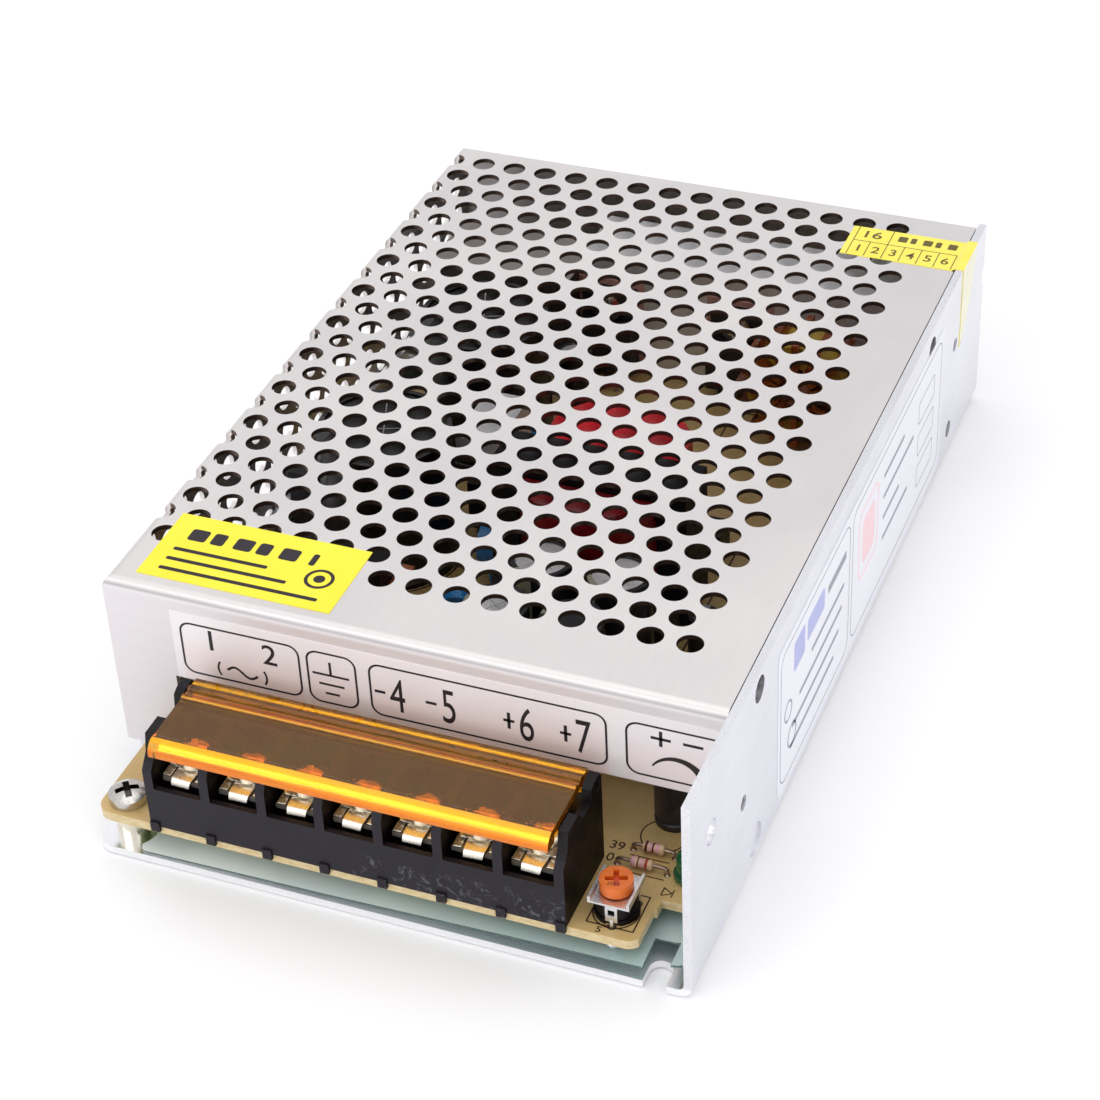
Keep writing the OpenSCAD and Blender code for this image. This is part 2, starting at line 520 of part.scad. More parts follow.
module choke_windings() {
    color("peru") for (s = [-1, 1]) translate([ck[0] + s * 6.7, ck[1], 0]) {
        difference() {
            union() {
                translate([0, 0, pt + 5.4]) cylinder(d = 9.4, h = 10.4);
                for (z = [5.2, 15.4]) translate([-4.6 * (s < 0 ? 1 : 0.41), -5, pt + z]) cube([6.5, 10, 0.9]);
            }
            translate([-2.45, -2.75, pt]) cube([4.9, 5.5, 24]);
            translate([s * -4.3 - 3, -6, pt]) cube([4.7, 12, 24]);
        }
        for (t = [-1, 1]) translate([s * -0.7, t * 4.3, board_z - 1.4]) cylinder(d = 0.8, h = 1);
    }
}
module bridge_rectifier() {
    color([0.13, 0.13, 0.14]) {
        translate([-45.2, -7.4, pt + 2.2]) cube([4, 14.8, 11]);
        for (a = [-5.7, -1.9, 1.9, 5.7]) translate([-43.2, a, board_z - 1.4]) cylinder(d = 0.8, h = board_t + 1.4 + 2.4);
    }
}

// ---- transformer and output inductor ----
module transformer_core() {
    color([0.16, 0.16, 0.17]) translate([tr[0], tr[1] - core_in, pt + 1.5]) difference() {
        translate([-16.5, -5, 0]) cube([33, 10, 24]);
        for (s = [-1, 1]) translate([s * 8.4 - 3.3, -6, 4.6]) cube([6.6, 12, 14.8]);
    }
}
module transformer_bobbin() {
    color([0.2, 0.18, 0.17]) translate([tr[0], tr[1], 0]) {
        for (s = [-1, 1]) translate([-15.5, s * 12.6 - 2.6, pt + 0.4]) cube([31, 5.2, 4.6]);
        for (a = [-12.5, -7.5, -2.5, 2.5, 7.5, 12.5], s = [-1, 1]) translate([a, s * 13, board_z - 1.4]) cylinder(d = 0.8, h = board_t + 1.4 + 0.6);
    }
}
module transformer_winding() {
    color("firebrick") translate([tr[0], tr[1], pt + 6.2]) difference() {
        union() {
            intersection() {
                translate([-11.5, -15, 0]) cube([23, 30, 18.2]);
                scale([1, 1.24, 1]) translate([0, 0, -1]) cylinder(d = 27, h = 20);
            }
        }
        translate([-5.2, -5.2 - core_in, -1]) cube([10.4, 10.4, 20]);
        for (s = [-1, 1]) translate([s * 13.4 - 1.8, -5.2 - core_in, -1]) cube([3.6, 10.4, 20]);
        // room for the core's top yoke
        translate([-17, -5.2 - core_in, 14.6]) cube([34, 10.4, 6]);
    }
}
module inductor_core() {
    color("goldenrod") translate([sr[0], sr[1], pt + 12.4]) rotate([90, 0, 0]) translate([0, 0, -3.5]) difference() {
        cylinder(d = 18, h = 7);
        translate([0, 0, -1]) cylinder(d = 9.6, h = 9);
    }
}
module inductor_winding() {
    n = 16;
    color([0.55, 0.2, 0.1]) translate([sr[0], sr[1], pt + 12.4]) rotate([90, 0, 0])
        for (k = [0:n - 1]) rotate([0, 0, k * 360 / n]) translate([6.9, 0, 0]) rotate([90, 0, 0]) translate([0, 0, -0.55]) difference() {
            rounded3(7.6, 10.2, 1.1);
            rounded3(4.9, 7.6, 3);
        }
    color([0.55, 0.2, 0.1]) for (s = [-1, 1]) translate([sr[0] + s * 4.1, sr[1], board_z - 1.4]) cylinder(d = 1, h = board_t + 1.4 + 3.2);
}
module rounded3(w, l, h) { translate([0, 0, (1.1 - h) / 2]) linear_extrude(h) rounded(-w / 2, -l / 2, w, l, 0.8); }

// ---- heat sinks and power parts ----
module small_heat_sink() {
    color("gainsboro") difference() {
        xz(hs[1] - 7, 14) {
            translate([hs[0], pt + 0.5]) square([2, 21.5]);
            translate([hs[0] - 5.4, pt + 20]) square([7.4, 2]);
        }
        translate([hs[0] - 5, hs[1], pt + 14.5]) rotate([0, 90, 0]) cylinder(d = 2.9, h = 12);
    }
}
module back_heat_sink() {
    color("gainsboro") difference() {
        yz(-17, 60) {
            translate([bar_y, pt + 0.5]) square([2, 23]);
            translate([bar_y, pt + 21.5]) square([13, 2]);
        }
        for (x = to_x) translate([x, bar_y - 5, pt + 14.5]) rotate([-90, 0, 0]) cylinder(d = 2.9, h = 12);
    }
}
// a tab packaged transistor: back face on the plane y = 0, body towards -Y
module tab_part() {
    difference() {
        union() {
            translate([-5, -4.4, 2.5]) cube([10, 4.4, 9]);
            translate([-5, -1.3, 11.4]) cube([10, 1.3, 6.3]);
        }
        translate([0, 1, 14.5]) rotate([90, 0, 0]) cylinder(d = 3.7, h = 8);
    }
    for (a = [-2.54, 0, 2.54]) translate([a, -3.8, -board_t - 1.4]) cylinder(d = 0.8, h = board_t + 1.4 + 2.6);
}
module on_tabs() {
    for (x = to_x) translate([x, bar_y, pt]) children();
    translate([hs[0], hs[1], pt]) rotate([0, 0, -90]) children();
}
module power_transistors() { color([0.15, 0.15, 0.16]) on_tabs() translate([0, -0.4, 0]) tab_part(); }
module insulating_pads() {
    color("lightpink") on_tabs() difference() {
        translate([-6, -0.4, 1.8]) cube([12, 0.4, 17]);
        translate([0, 1, 14.5]) rotate([90, 0, 0]) cylinder(d = 3.7, h = 5);
    }
}
module transistor_screws() { color("silver") on_tabs() translate([0, -1.7, 14.5]) rotate([90, 0, 0]) pan_screw(2.8, 4.5, 5.4, 2); }
module dip(x, y, n) {
    translate([x, y, pt]) {
        translate([-n * 1.27, -3.2, 0.6]) cube([n * 2.54, 6.4, 3.3]);
        for (a = [0:n - 1], s = [-1, 1]) {
            translate([(a - (n - 1) / 2) * 2.54, s * 3.8, 0]) {
                translate([-0.45, s > 0 ? -0.8 : -0.2, 1.9]) cube([0.9, 1, 0.25]);
                translate([0, 0, -board_t - 1.4]) cylinder(d = 0.4, h = board_t + 1.4 + 2);
            }
        }
    }
}
module control_chip() { color([0.12, 0.12, 0.12]) dip(28, -42, 4); }
module optocoupler() { color("whitesmoke") dip(38, -20, 2); }

chassis();
cover();
insulating_film();
circuit_board();
board_standoffs();
board_screws();
cover_screws();
front_label();
yellow_label();
seal_label();
side_label();
terminal_block();
terminal_contacts();
terminal_clamps();
terminal_screws();
terminal_cover();
trimmer_base();
trimmer_frame();
trimmer_rotor();
indicator_led();
small_resistors();
small_diodes();
small_capacitors();
fuse();
fuse_clips();
inrush_thermistor();
filter_capacitor();
choke_core();
choke_windings();
bridge_rectifier();
bulk_capacitors();
transformer_core();
transformer_bobbin();
transformer_winding();
disc_capacitors();
output_capacitors();
inductor_core();
inductor_winding();
small_heat_sink();
back_heat_sink();
power_transistors();
insulating_pads();
transistor_screws();
control_chip();
optocoupler();
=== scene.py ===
import bpy, bmesh, math, json, random
from mathutils import Vector, Matrix

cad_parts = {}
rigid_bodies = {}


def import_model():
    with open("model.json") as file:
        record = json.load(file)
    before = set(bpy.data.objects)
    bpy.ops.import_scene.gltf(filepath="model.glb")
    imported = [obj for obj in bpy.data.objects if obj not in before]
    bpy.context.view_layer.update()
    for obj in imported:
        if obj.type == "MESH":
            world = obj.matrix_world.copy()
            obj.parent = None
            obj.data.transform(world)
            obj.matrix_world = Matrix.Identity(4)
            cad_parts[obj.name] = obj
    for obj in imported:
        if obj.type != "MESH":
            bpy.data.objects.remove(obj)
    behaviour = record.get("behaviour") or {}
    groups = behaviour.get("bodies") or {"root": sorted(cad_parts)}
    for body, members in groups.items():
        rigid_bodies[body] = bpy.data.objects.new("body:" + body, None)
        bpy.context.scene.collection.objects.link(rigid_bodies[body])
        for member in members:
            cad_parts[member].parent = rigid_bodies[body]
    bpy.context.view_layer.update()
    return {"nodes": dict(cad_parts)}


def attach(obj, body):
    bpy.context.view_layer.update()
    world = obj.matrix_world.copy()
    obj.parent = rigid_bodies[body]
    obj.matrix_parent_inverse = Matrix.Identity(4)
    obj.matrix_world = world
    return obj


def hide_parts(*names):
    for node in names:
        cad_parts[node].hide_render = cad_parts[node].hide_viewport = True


for o in list(bpy.data.objects):
    bpy.data.objects.remove(o, do_unlink=True)
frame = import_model()
NODES = frame["nodes"]
MM = 0.001
random.seed(7)


# ------------------------------------------------------------------ materials
class Mat:
    def __init__(self, name, **k):
        self.m = bpy.data.materials.new(name)
        self.m.use_nodes = True
        self.t = self.m.node_tree
        self.t.nodes.clear()
        out = self.t.nodes.new("ShaderNodeOutputMaterial")
        self.b = self.t.nodes.new("ShaderNodeBsdfPrincipled")
        self.t.links.new(self.b.outputs[0], out.inputs[0])
        self.pos = self.t.nodes.new("ShaderNodeTexCoord").outputs["Object"]
        self._xyz = None
        self.set(**k)

    def _put(self, sock, val):
        if hasattr(val, "is_output"):
            self.t.links.new(val, sock)
        elif isinstance(val, (tuple, list)):
            sock.default_value = (*val, 1.0) if len(val) == 3 and sock.type == "RGBA" else tuple(val)
        else:
            sock.default_value = val

    NAMES = dict(color="Base Color", metal="Metallic", rough="Roughness", ior="IOR", alpha="Alpha", normal="Normal",
                 trans="Transmission Weight", coat="Coat Weight", coat_rough="Coat Roughness", spec="Specular IOR Level",
                 sss="Subsurface Weight", sss_r="Subsurface Radius", sss_s="Subsurface Scale", aniso="Anisotropic",
                 emis="Emission Color", emis_w="Emission Strength", sheen="Sheen Weight")

    def set(self, **k):
        for a, v in k.items():
            self._put(self.b.inputs[self.NAMES[a]], v)
        return self

    def scaled(self, s, off=(0, 0, 0)):
        n = self.t.nodes.new("ShaderNodeMapping")
        self._put(n.inputs["Vector"], self.pos)
        n.inputs["Scale"].default_value = s
        n.inputs["Location"].default_value = off
        return n.outputs[0]

    def noise(self, mm, detail=3.0, rough=0.5, stretch=None, dist=0.0):
        n = self.t.nodes.new("ShaderNodeTexNoise")
        self._put(n.inputs["Vector"], self.scaled(stretch) if stretch else self.pos)
        n.inputs["Scale"].default_value = 1000.0 / mm
        n.inputs["Detail"].default_value = detail
        n.inputs["Roughness"].default_value = rough
        n.inputs["Distortion"].default_value = dist
        return n.outputs[0]

    def voro(self, mm, feature="F1", out="Distance", stretch=None, rand=1.0):
        n = self.t.nodes.new("ShaderNodeTexVoronoi")
        n.feature = feature
        self._put(n.inputs["Vector"], self.scaled(stretch) if stretch else self.pos)
        n.inputs["Scale"].default_value = 1000.0 / mm
        n.inputs["Randomness"].default_value = rand
        return n.outputs[out]

    def ramp(self, fac, *stops, mode="LINEAR"):
        n = self.t.nodes.new("ShaderNodeValToRGB")
        n.color_ramp.interpolation = mode
        e = n.color_ramp.elements
        while len(e) < len(stops):
            e.new(0.5)
        for i, (p, c) in enumerate(stops):
            e[i].position = p
            e[i].color = (*c, 1.0) if len(c) == 3 else c
        self._put(n.inputs[0], fac)
        return n.outputs[0]

    def rng(self, fac, lo, hi, a=0.3, b=0.7):
        n = self.t.nodes.new("ShaderNodeMapRange")
        n.interpolation_type = "SMOOTHSTEP"
        self._put(n.inputs[0], fac)
        n.inputs[1].default_value, n.inputs[2].default_value = a, b
        n.inputs[3].default_value, n.inputs[4].default_value = lo, hi
        return n.outputs[0]

    def math(self, op, a, b=0.0, clamp=False):
        n = self.t.nodes.new("ShaderNodeMath")
        n.operation = op
        n.use_clamp = clamp
        self._put(n.inputs[0], a)
        self._put(n.inputs[1], b)
        return n.outputs[0]

    def mix(self, fac, a, b, mode="MIX"):
        n = self.t.nodes.new("ShaderNodeMix")
        n.data_type = "RGBA"
        n.blend_type = mode
        self._put(n.inputs["Factor"], fac)
        ia = [s for s in n.inputs if s.name == "A" and s.type == "RGBA"][0]
        ib = [s for s in n.inputs if s.name == "B" and s.type == "RGBA"][0]
        self._put(ia, a)
        self._put(ib, b)
        return [s for s in n.outputs if s.type == "RGBA"][0]

    def xyz(self, i):
        if self._xyz is None:
            n = self.t.nodes.new("ShaderNodeSeparateXYZ")
            self._put(n.inputs[0], self.pos)
            self._xyz = n.outputs
        return self._xyz[i]

    def nrm(self, i):
        g = self.t.nodes.new("ShaderNodeNewGeometry")
        n = self.t.nodes.new("ShaderNodeSeparateXYZ")
        self._put(n.inputs[0], g.outputs["Normal"])
        return n.outputs[i]

    def above(self, i, mm, soft=0.02):
        """0 below and 1 above a coordinate in mm"""
        return self.rng(self.xyz(i), 0.0, 1.0, (mm - soft) * MM, (mm + soft) * MM)

    def near(self, x, y, r, soft=0.05):
        """1 inside a vertical cylinder"""
        dx = self.math("SUBTRACT", self.xyz(0), x * MM)
        dy = self.math("SUBTRACT", self.xyz(1), y * MM)
        d = self.math("ADD", self.math("MULTIPLY", dx, dx), self.math("MULTIPLY", dy, dy))
        return self.rng(self.math("SQRT", d), 1.0, 0.0, (r - soft) * MM, (r + soft) * MM)

    def bump(self, height, strength=0.3, dist=0.05, normal=None):
        n = self.t.nodes.new("ShaderNodeBump")
        n.inputs["Strength"].default_value = strength
        n.inputs["Distance"].default_value = dist * MM
        self._put(n.inputs["Height"], height)
        if normal is not None:
            self._put(n.inputs["Normal"], normal)
        return n.outputs[0]


def srgb(r, g, b):
    f = lambda c: (c / 255 / 12.92) if c / 255 <= 0.04045 else ((c / 255 + 0.055) / 1.055) ** 2.4
    return (f(r), f(g), f(b))


MATS = {}


def mat_sheet(name="sheet_aluminium"):
    m = Mat(name, metal=1.0)
    cloud = m.noise(22, 3, 0.55)
    roll = m.noise(1.2, 3, 0.6, stretch=(1, 0.03, 1))
    speck = m.noise(0.28, 4, 0.75)
    base = m.ramp(cloud, (0.3, srgb(226, 226, 231)), (0.7, srgb(238, 238, 243)))
    base = m.mix(m.rng(roll, 0.0, 0.10), base, srgb(196, 197, 205))
    # sheared edges: top of the wall, its front end and the front of the floor
    edge = m.math("ADD", m.above(2, 35.66, 0.02), m.rng(m.xyz(1), 1.0, 0.0, -0.07898, -0.0789), clamp=True)
    grit = m.rng(speck, 0.0, 1.0, 0.52, 0.66)
    base = m.mix(m.math("MULTIPLY", edge, grit), base, srgb(206, 206, 209))
    # painted highlight: the floor's front strip is whitened to near white so it reads bright; it is also almost a
    # mirror near its left end
    r = m.rng(cloud, 0.30, 0.42, 0.25, 0.75)
    floor = m.math("MULTIPLY", m.rng(m.xyz(2), 1.0, 0.0, 0.0014, 0.0018), m.rng(m.xyz(0), 1.0, 0.0, -0.037, -0.034))
    ledge_highlight = m.rng(m.xyz(2), 1.0, 0.0, 0.0014, 0.0018)
    base = m.mix(m.math("MULTIPLY", ledge_highlight, 0.8), base, srgb(253, 253, 255))
    r2 = m.math("SUBTRACT", r, m.math("MULTIPLY", floor, 0.16))
    h = m.math("ADD", m.math("MULTIPLY", roll, 0.3), m.math("MULTIPLY", m.math("MULTIPLY", edge, grit), 3.0))
    m.set(color=base, rough=r2, normal=m.bump(h, 0.12, 0.03))
    return m


def mat_cover():
    m = Mat("cover_aluminium", metal=1.0)
    cloud = m.noise(30, 3, 0.5)
    fine = m.noise(0.6, 3, 0.65, stretch=(1, 0.06, 1))
    base = m.ramp(cloud, (0.3, srgb(221, 217, 216)), (0.7, srgb(229, 225, 223)))
    flap = m.rng(m.xyz(1), 1.0, 0.0, -0.0588, -0.0582)
    brush = m.noise(1.4, 4, 0.7, stretch=(0.025, 1, 1))
    streak = m.rng(brush, 0.0, 1.0, 0.44, 0.66)
    base = m.mix(m.math("MULTIPLY", m.math("MULTIPLY", flap, streak), 0.42), base, srgb(196, 190, 190))
    base = m.mix(m.rng(fine, 0.0, 0.08), base, srgb(190, 186, 186))
    front = m.math("MULTIPLY", flap, m.rng(m.nrm(1), 1.0, 0.0, -0.95, -0.6))
    base = m.mix(m.math("MULTIPLY", front, 0.85), base, srgb(226, 221, 224))
    # painted shade: the front bend of the cover is darkened to grey
    fold_shade = m.math("MULTIPLY", m.rng(m.nrm(2), 0.0, 1.0, 0.22, 0.5), m.rng(m.nrm(2), 1.0, 0.0, 0.8, 0.97))
    fold_shade = m.math("MULTIPLY", m.math("MULTIPLY", fold_shade, flap), m.rng(m.nrm(1), 1.0, 0.0, -0.5, -0.2))
    base = m.mix(m.math("MULTIPLY", fold_shade, 0.75), base, srgb(150, 145, 146))
    # painted shade: the walls of the holes in the top plate are painted dark brown-grey
    hole_wall_shade = m.math("MULTIPLY", m.rng(m.math("ABSOLUTE", m.nrm(2)), 1.0, 0.0, 0.3, 0.6), m.above(2, 34.4, 0.02))
    hole_wall_shade = m.math("MULTIPLY", hole_wall_shade, m.math("MULTIPLY", m.above(1, -58.0, 0.1), m.above(0, -48.6, 0.1)))
    hole_wall_shade = m.math("MULTIPLY", hole_wall_shade, m.rng(m.xyz(1), 1.0, 0.0, 0.0776, 0.0778))
    base = m.mix(hole_wall_shade, base, srgb(104, 88, 80))
    h = m.math("ADD", m.math("MULTIPLY", fine, 0.5), m.math("MULTIPLY", m.math("MULTIPLY", brush, flap), 0.8))
    m.set(metal=m.math("SUBTRACT", 1.0, m.math("MULTIPLY", front, 0.62)))
    m.set(color=base, rough=m.math("ADD", m.rng(cloud, 0.36, 0.46), m.math("MULTIPLY", front, 0.12)), normal=m.bump(h, 0.10, 0.03))
    return m


def mat_film():
    m = Mat("film", ior=1.55, coat=0.6)
    cloud = m.noise(14, 2, 0.5)
    # painted reflection and shade: the film goes from near white at the left to darker green-grey at the right, a
    # gradient across X
    inner = m.rng(m.xyz(0), 0.0, 1.0, -0.030, 0.040)
    col = m.mix(inner, srgb(246, 252, 248), srgb(182, 206, 201))
    col = m.mix(m.rng(cloud, 0.0, 0.35, 0.4, 0.6), col, srgb(196, 206, 214))
    # painted shade: the film's front edge (faces towards -Y) is dark teal
    edge = m.rng(m.nrm(1), 1.0, 0.0, -0.9, -0.6)
    col = m.mix(edge, col, srgb(52, 84, 78))
    m.set(color=col, rough=m.rng(cloud, 0.06, 0.13), coat_rough=0.05, normal=m.bump(cloud, 0.25, 0.5))
    return m


def mat_laminate():
    m = Mat("laminate", spec=0.5, coat=0.25, coat_rough=0.25)
    cloud = m.noise(16, 4, 0.6)
    fib = m.noise(0.7, 4, 0.7, stretch=(0.25, 1, 1))
    speck = m.noise(0.35, 2, 0.5)
    top = m.ramp(cloud, (0.3, srgb(198, 166, 106)), (0.7, srgb(214, 184, 124)))
    top = m.mix(m.rng(fib, 0.0, 0.3, 0.4, 0.7), top, srgb(186, 150, 92))
    top = m.mix(m.rng(speck, 0.0, 0.5, 0.68, 0.76), top, srgb(112, 70, 36))
    side = m.noise(0.5, 5, 0.8, stretch=(0.35, 0.35, 1.6))
    sidec = m.ramp(side, (0.3, srgb(182, 154, 104)), (0.55, srgb(212, 192, 146)), (0.75, srgb(226, 210, 172)))
    nz = m.math("ABSOLUTE", m.nrm(2))
    col = m.mix(m.rng(nz, 1.0, 0.0, 0.3, 0.7), top, sidec)
    # solder side
    under = m.rng(m.nrm(2), 1.0, 0.0, -0.9, -0.6)
    track = m.voro(7.0, "DISTANCE_TO_EDGE")
    solder = m.ramp(track, (0.02, srgb(58, 92, 48)), (0.06, srgb(120, 136, 72)))
    col = m.mix(under, col, solder)
    m.set(color=col, rough=m.rng(cloud, 0.38, 0.52), normal=m.bump(m.math("ADD", fib, side), 0.15, 0.04))
    return m


def mat_metal(name, lo, hi, r0=0.16, r1=0.3, grain=1.2, dark=None):
    m = Mat(name, metal=1.0)
    n = m.noise(grain * 3, 3, 0.6)
    s = m.noise(grain * 0.35, 4, 0.7)
    base = m.ramp(n, (0.3, lo), (0.7, hi))
    base = m.mix(m.rng(s, 0.0, 0.35, 0.5, 0.75), base, dark or tuple(c * 0.45 for c in lo))
    m.set(color=base, rough=m.rng(s, r0, r1), normal=m.bump(s, 0.10, 0.02))
    return m


def mat_screw():
    """plated pan head with painted shade in the cross recess"""
    m = Mat("screw_plate", metal=1.0)
    n = m.noise(3, 3, 0.6)
    s = m.noise(0.5, 4, 0.7)
    base = m.ramp(n, (0.3, srgb(186, 182, 176)), (0.7, srgb(214, 210, 204)))
    base = m.mix(m.rng(s, 0.0, 0.4, 0.5, 0.75), base, srgb(128, 122, 114))
    low = m.rng(m.xyz(2), 1.0, 0.0, 0.00858, 0.00864)
    low = m.math("ADD", low, m.rng(m.math("ABSOLUTE", m.nrm(2)), 1.0, 0.0, 0.45, 0.75), clamp=True)
    # painted shade: the cross recesses of the four board screws are darkened nearly to black
    recess_shade = None
    for x, y in ((-40.5, -74.7), (-40.5, 70), (41.5, 70), (42, -42)):
        k = m.near(x, y, 1.95, 0.05)
        recess_shade = k if recess_shade is None else m.math("ADD", recess_shade, k, clamp=True)
    recess_shade = m.math("MULTIPLY", m.math("MULTIPLY", recess_shade, low), m.above(2, 7.6, 0.05))
    m.set(color=m.mix(m.math("MULTIPLY", recess_shade, 0.85), base, srgb(38, 33, 30)), rough=m.rng(s, 0.14, 0.26), normal=m.bump(s, 0.10, 0.02))
    return m


def mat_plastic(name, lo, hi, r0=0.35, r1=0.5, cloud=5, fine=0.3, bump=0.12, bd=0.02, **k):
    m = Mat(name, **k)
    n = m.noise(cloud, 3, 0.55)
    f = m.noise(fine, 3, 0.6)
    m.set(color=m.ramp(n, (0.3, lo), (0.7, hi)), rough=m.rng(n, r0, r1), normal=m.bump(f, bump, bd))
    return m


def mat_block():
    m = Mat("black_moulding")
    n = m.noise(6, 3, 0.5)
    f = m.noise(0.35, 3, 0.6)
    base = m.ramp(n, (0.3, srgb(27, 24, 31)), (0.7, srgb(34, 31, 38)))
    m.set(spec=m.rng(m.nrm(0), 0.22, 0.06, 0.5, 0.8))
    # painted shade: everything behind the front face (the recesses) and the right end wall are darkened almost to black
    base = m.mix(m.math("MULTIPLY", m.above(1, -77.75, 0.1), 0.8), base, srgb(12, 9, 11))
    base = m.mix(m.rng(m.nrm(0), 0.0, 1.0, 0.5, 0.8), base, srgb(14, 8, 9))
    # pale rubbed marks low on the front face, right of the middle
    zone = m.math("MULTIPLY", m.rng(m.xyz(0), 0.0, 1.0, -0.006, 0.004), m.rng(m.xyz(2), 1.0, 0.0, 0.0105, 0.0135))
    zone = m.math("MULTIPLY", zone, m.rng(m.xyz(1), 1.0, 0.0, -0.0785, -0.0775))
    scr = m.noise(2.2, 5, 0.75, dist=1.4)
    base = m.mix(m.math("MULTIPLY", zone, m.rng(scr, 0.0, 0.42, 0.53, 0.72)), base, srgb(150, 148, 158))
    m.set(color=base, rough=m.rng(n, 0.34, 0.46), normal=m.bump(f, 0.10, 0.02))
    return m


def mat_amber():
    m = Mat("amber_moulding", trans=0.96, ior=1.46)
    n = m.noise(7, 2, 0.5)
    col = m.ramp(n, (0.3, srgb(255, 176, 8)), (0.7, srgb(255, 188, 18)))
    m.set(color=col, rough=m.rng(n, 0.02, 0.05), normal=m.bump(n, 0.06, 0.3))
    return m


def mat_cans(name, caps, col=(34, 32, 38), stripe=(150, 150, 152), tops=9):
    """sleeve with a pale stripe on one side; bare can showing inside the rolled top edge. caps: x, y, inner radius, top, stripe angle"""
    m = Mat(name, spec=0.5)
    n = m.noise(4, 3, 0.5)
    f = m.noise(0.3, 3, 0.6)
    c = m.ramp(n, (0.3, srgb(*col)), (0.7, srgb(*(min(255, v + 10) for v in col))))
    topmask = None
    strm = None
    up = m.rng(m.nrm(2), 0.0, 1.0, 0.6, 0.9)
    for i, (x, y, r, z, a) in enumerate(caps):
        if i < max(1, tops):
            k = m.math("MULTIPLY", m.near(x, y, r, 0.05), m.above(2, z - 1.2, 0.1))
            topmask = k if topmask is None else m.math("ADD", topmask, k, clamp=True)
        px = x + math.cos(a) * r * 1.25
        py = y + math.sin(a) * r * 1.25
        s = m.near(px, py, r * 0.42, 0.05)
        strm = s if strm is None else m.math("ADD", strm, s, clamp=True)
    topmask = m.math("MULTIPLY", topmask, up)
    c = m.mix(strm, c, srgb(*stripe))
    al = m.ramp(f, (0.3, srgb(232, 232, 235)), (0.7, srgb(248, 248, 250)))
    if tops:
        c = m.mix(topmask, c, al)
        m.set(metal=m.math("MULTIPLY", topmask, 0.45))
    m.set(color=c, rough=m.rng(n, 0.26, 0.38), normal=m.bump(f, 0.08, 0.02))
    return m


def mat_led():
    m = Mat("green_lens", trans=0.7, ior=1.5)
    n = m.noise(2, 2, 0.5)
    m.set(color=m.ramp(n, (0.3, srgb(46, 120, 78)), (0.7, srgb(66, 146, 98))), rough=m.rng(n, 0.08, 0.16), normal=m.bump(n, 0.05, 0.1))
    return m


def mat_white_label(name, c0=(236, 230, 231), c1=(241, 236, 238), pink=False):
    m = Mat(name, spec=0.4, coat=0.15, coat_rough=0.2)
    n = m.noise(18, 3, 0.5)
    f = m.noise(0.5, 3, 0.6)
    c = m.ramp(n, (0.3, srgb(*c0)), (0.7, srgb(*c1)))
    if pink:
        # faint warm fields inside the printed outlines
        for a, b in ((-37.3, -17.6), (-16.6, -8.5), (-6.6, 30.3), (33.0, 45.4)):
            w = m.math("MULTIPLY", m.above(0, a, 0.3), m.rng(m.xyz(0), 1.0, 0.0, (b - 0.3) * MM, (b + 0.3) * MM))
            w = m.math("MULTIPLY", w, m.rng(m.xyz(2), 1.0, 0.0, 0.024, 0.029))
            c = m.mix(m.math("MULTIPLY", w, 0.3), c, srgb(236, 205, 200))
    m.set(color=c, rough=m.rng(n, 0.32, 0.42), normal=m.bump(f, 0.05, 0.02))
    return m


def mat_yellow():
    m = Mat("yellow_label", spec=0.4, coat=0.2, coat_rough=0.2)
    n = m.noise(9, 3, 0.5)
    f = m.noise(0.5, 3, 0.6)
    m.set(color=m.ramp(n, (0.3, srgb(250, 231, 38)), (0.7, srgb(254, 238, 56))), rough=m.rng(n, 0.3, 0.4), normal=m.bump(f, 0.06, 0.02))
    return m


def mat_seal():
    m = Mat("gold_label", spec=0.5, coat=0.3, coat_rough=0.12)
    n = m.noise(6, 3, 0.5)
    f = m.noise(0.9, 3, 0.6)
    top = m.ramp(n, (0.3, srgb(244, 228, 62)), (0.7, srgb(252, 236, 88)))
    tail = m.ramp(n, (0.3, srgb(226, 220, 186)), (0.7, srgb(240, 236, 206)))
    c = m.mix(m.rng(m.nrm(0), 0.0, 1.0, 0.5, 0.8), top, tail)
    m.set(color=c, rough=m.rng(n, 0.22, 0.34), normal=m.bump(m.math("ADD", m.math("MULTIPLY", n, 2.0), f), 0.22, 0.12))
    return m


def mat_windings(name, lo, hi, axis_stretch, pitch=0.8):
    m = Mat(name, coat=0.5, coat_rough=0.15, metal=0.55)
    n = m.noise(2.0, 3, 0.6)
    w = m.noise(pitch, 1, 0.4, stretch=axis_stretch)
    c = m.ramp(n, (0.3, lo), (0.7, hi))
    c = m.mix(m.rng(w, 0.0, 0.6, 0.5, 0.62), c, tuple(x * 0.35 for x in lo))
    m.set(color=c, rough=m.rng(n, 0.22, 0.36), normal=m.bump(w, 0.5, 0.25))
    return m


def mat_tape():
    m = Mat("red_tape", coat=0.5, coat_rough=0.12)
    n = m.noise(5, 3, 0.55)
    lap = m.noise(2.6, 1, 0.3, stretch=(0.05, 0.05, 1))
    # painted shade and light: the tape is dark red towards the front (-Y) and bright red towards the lit rear
    front = m.rng(m.xyz(1), 0.0, 1.0, -0.006, 0.002)
    c = m.mix(front, srgb(150, 22, 30), srgb(240, 50, 64))
    c = m.mix(m.rng(n, 0.0, 0.35), c, srgb(120, 16, 24))
    c = m.mix(m.rng(lap, 0.0, 0.35, 0.5, 0.56), c, srgb(96, 12, 20))
    m.set(color=c, rough=m.rng(n, 0.2, 0.34), normal=m.bump(m.math("ADD", n, lap), 0.4, 0.2))
    return m


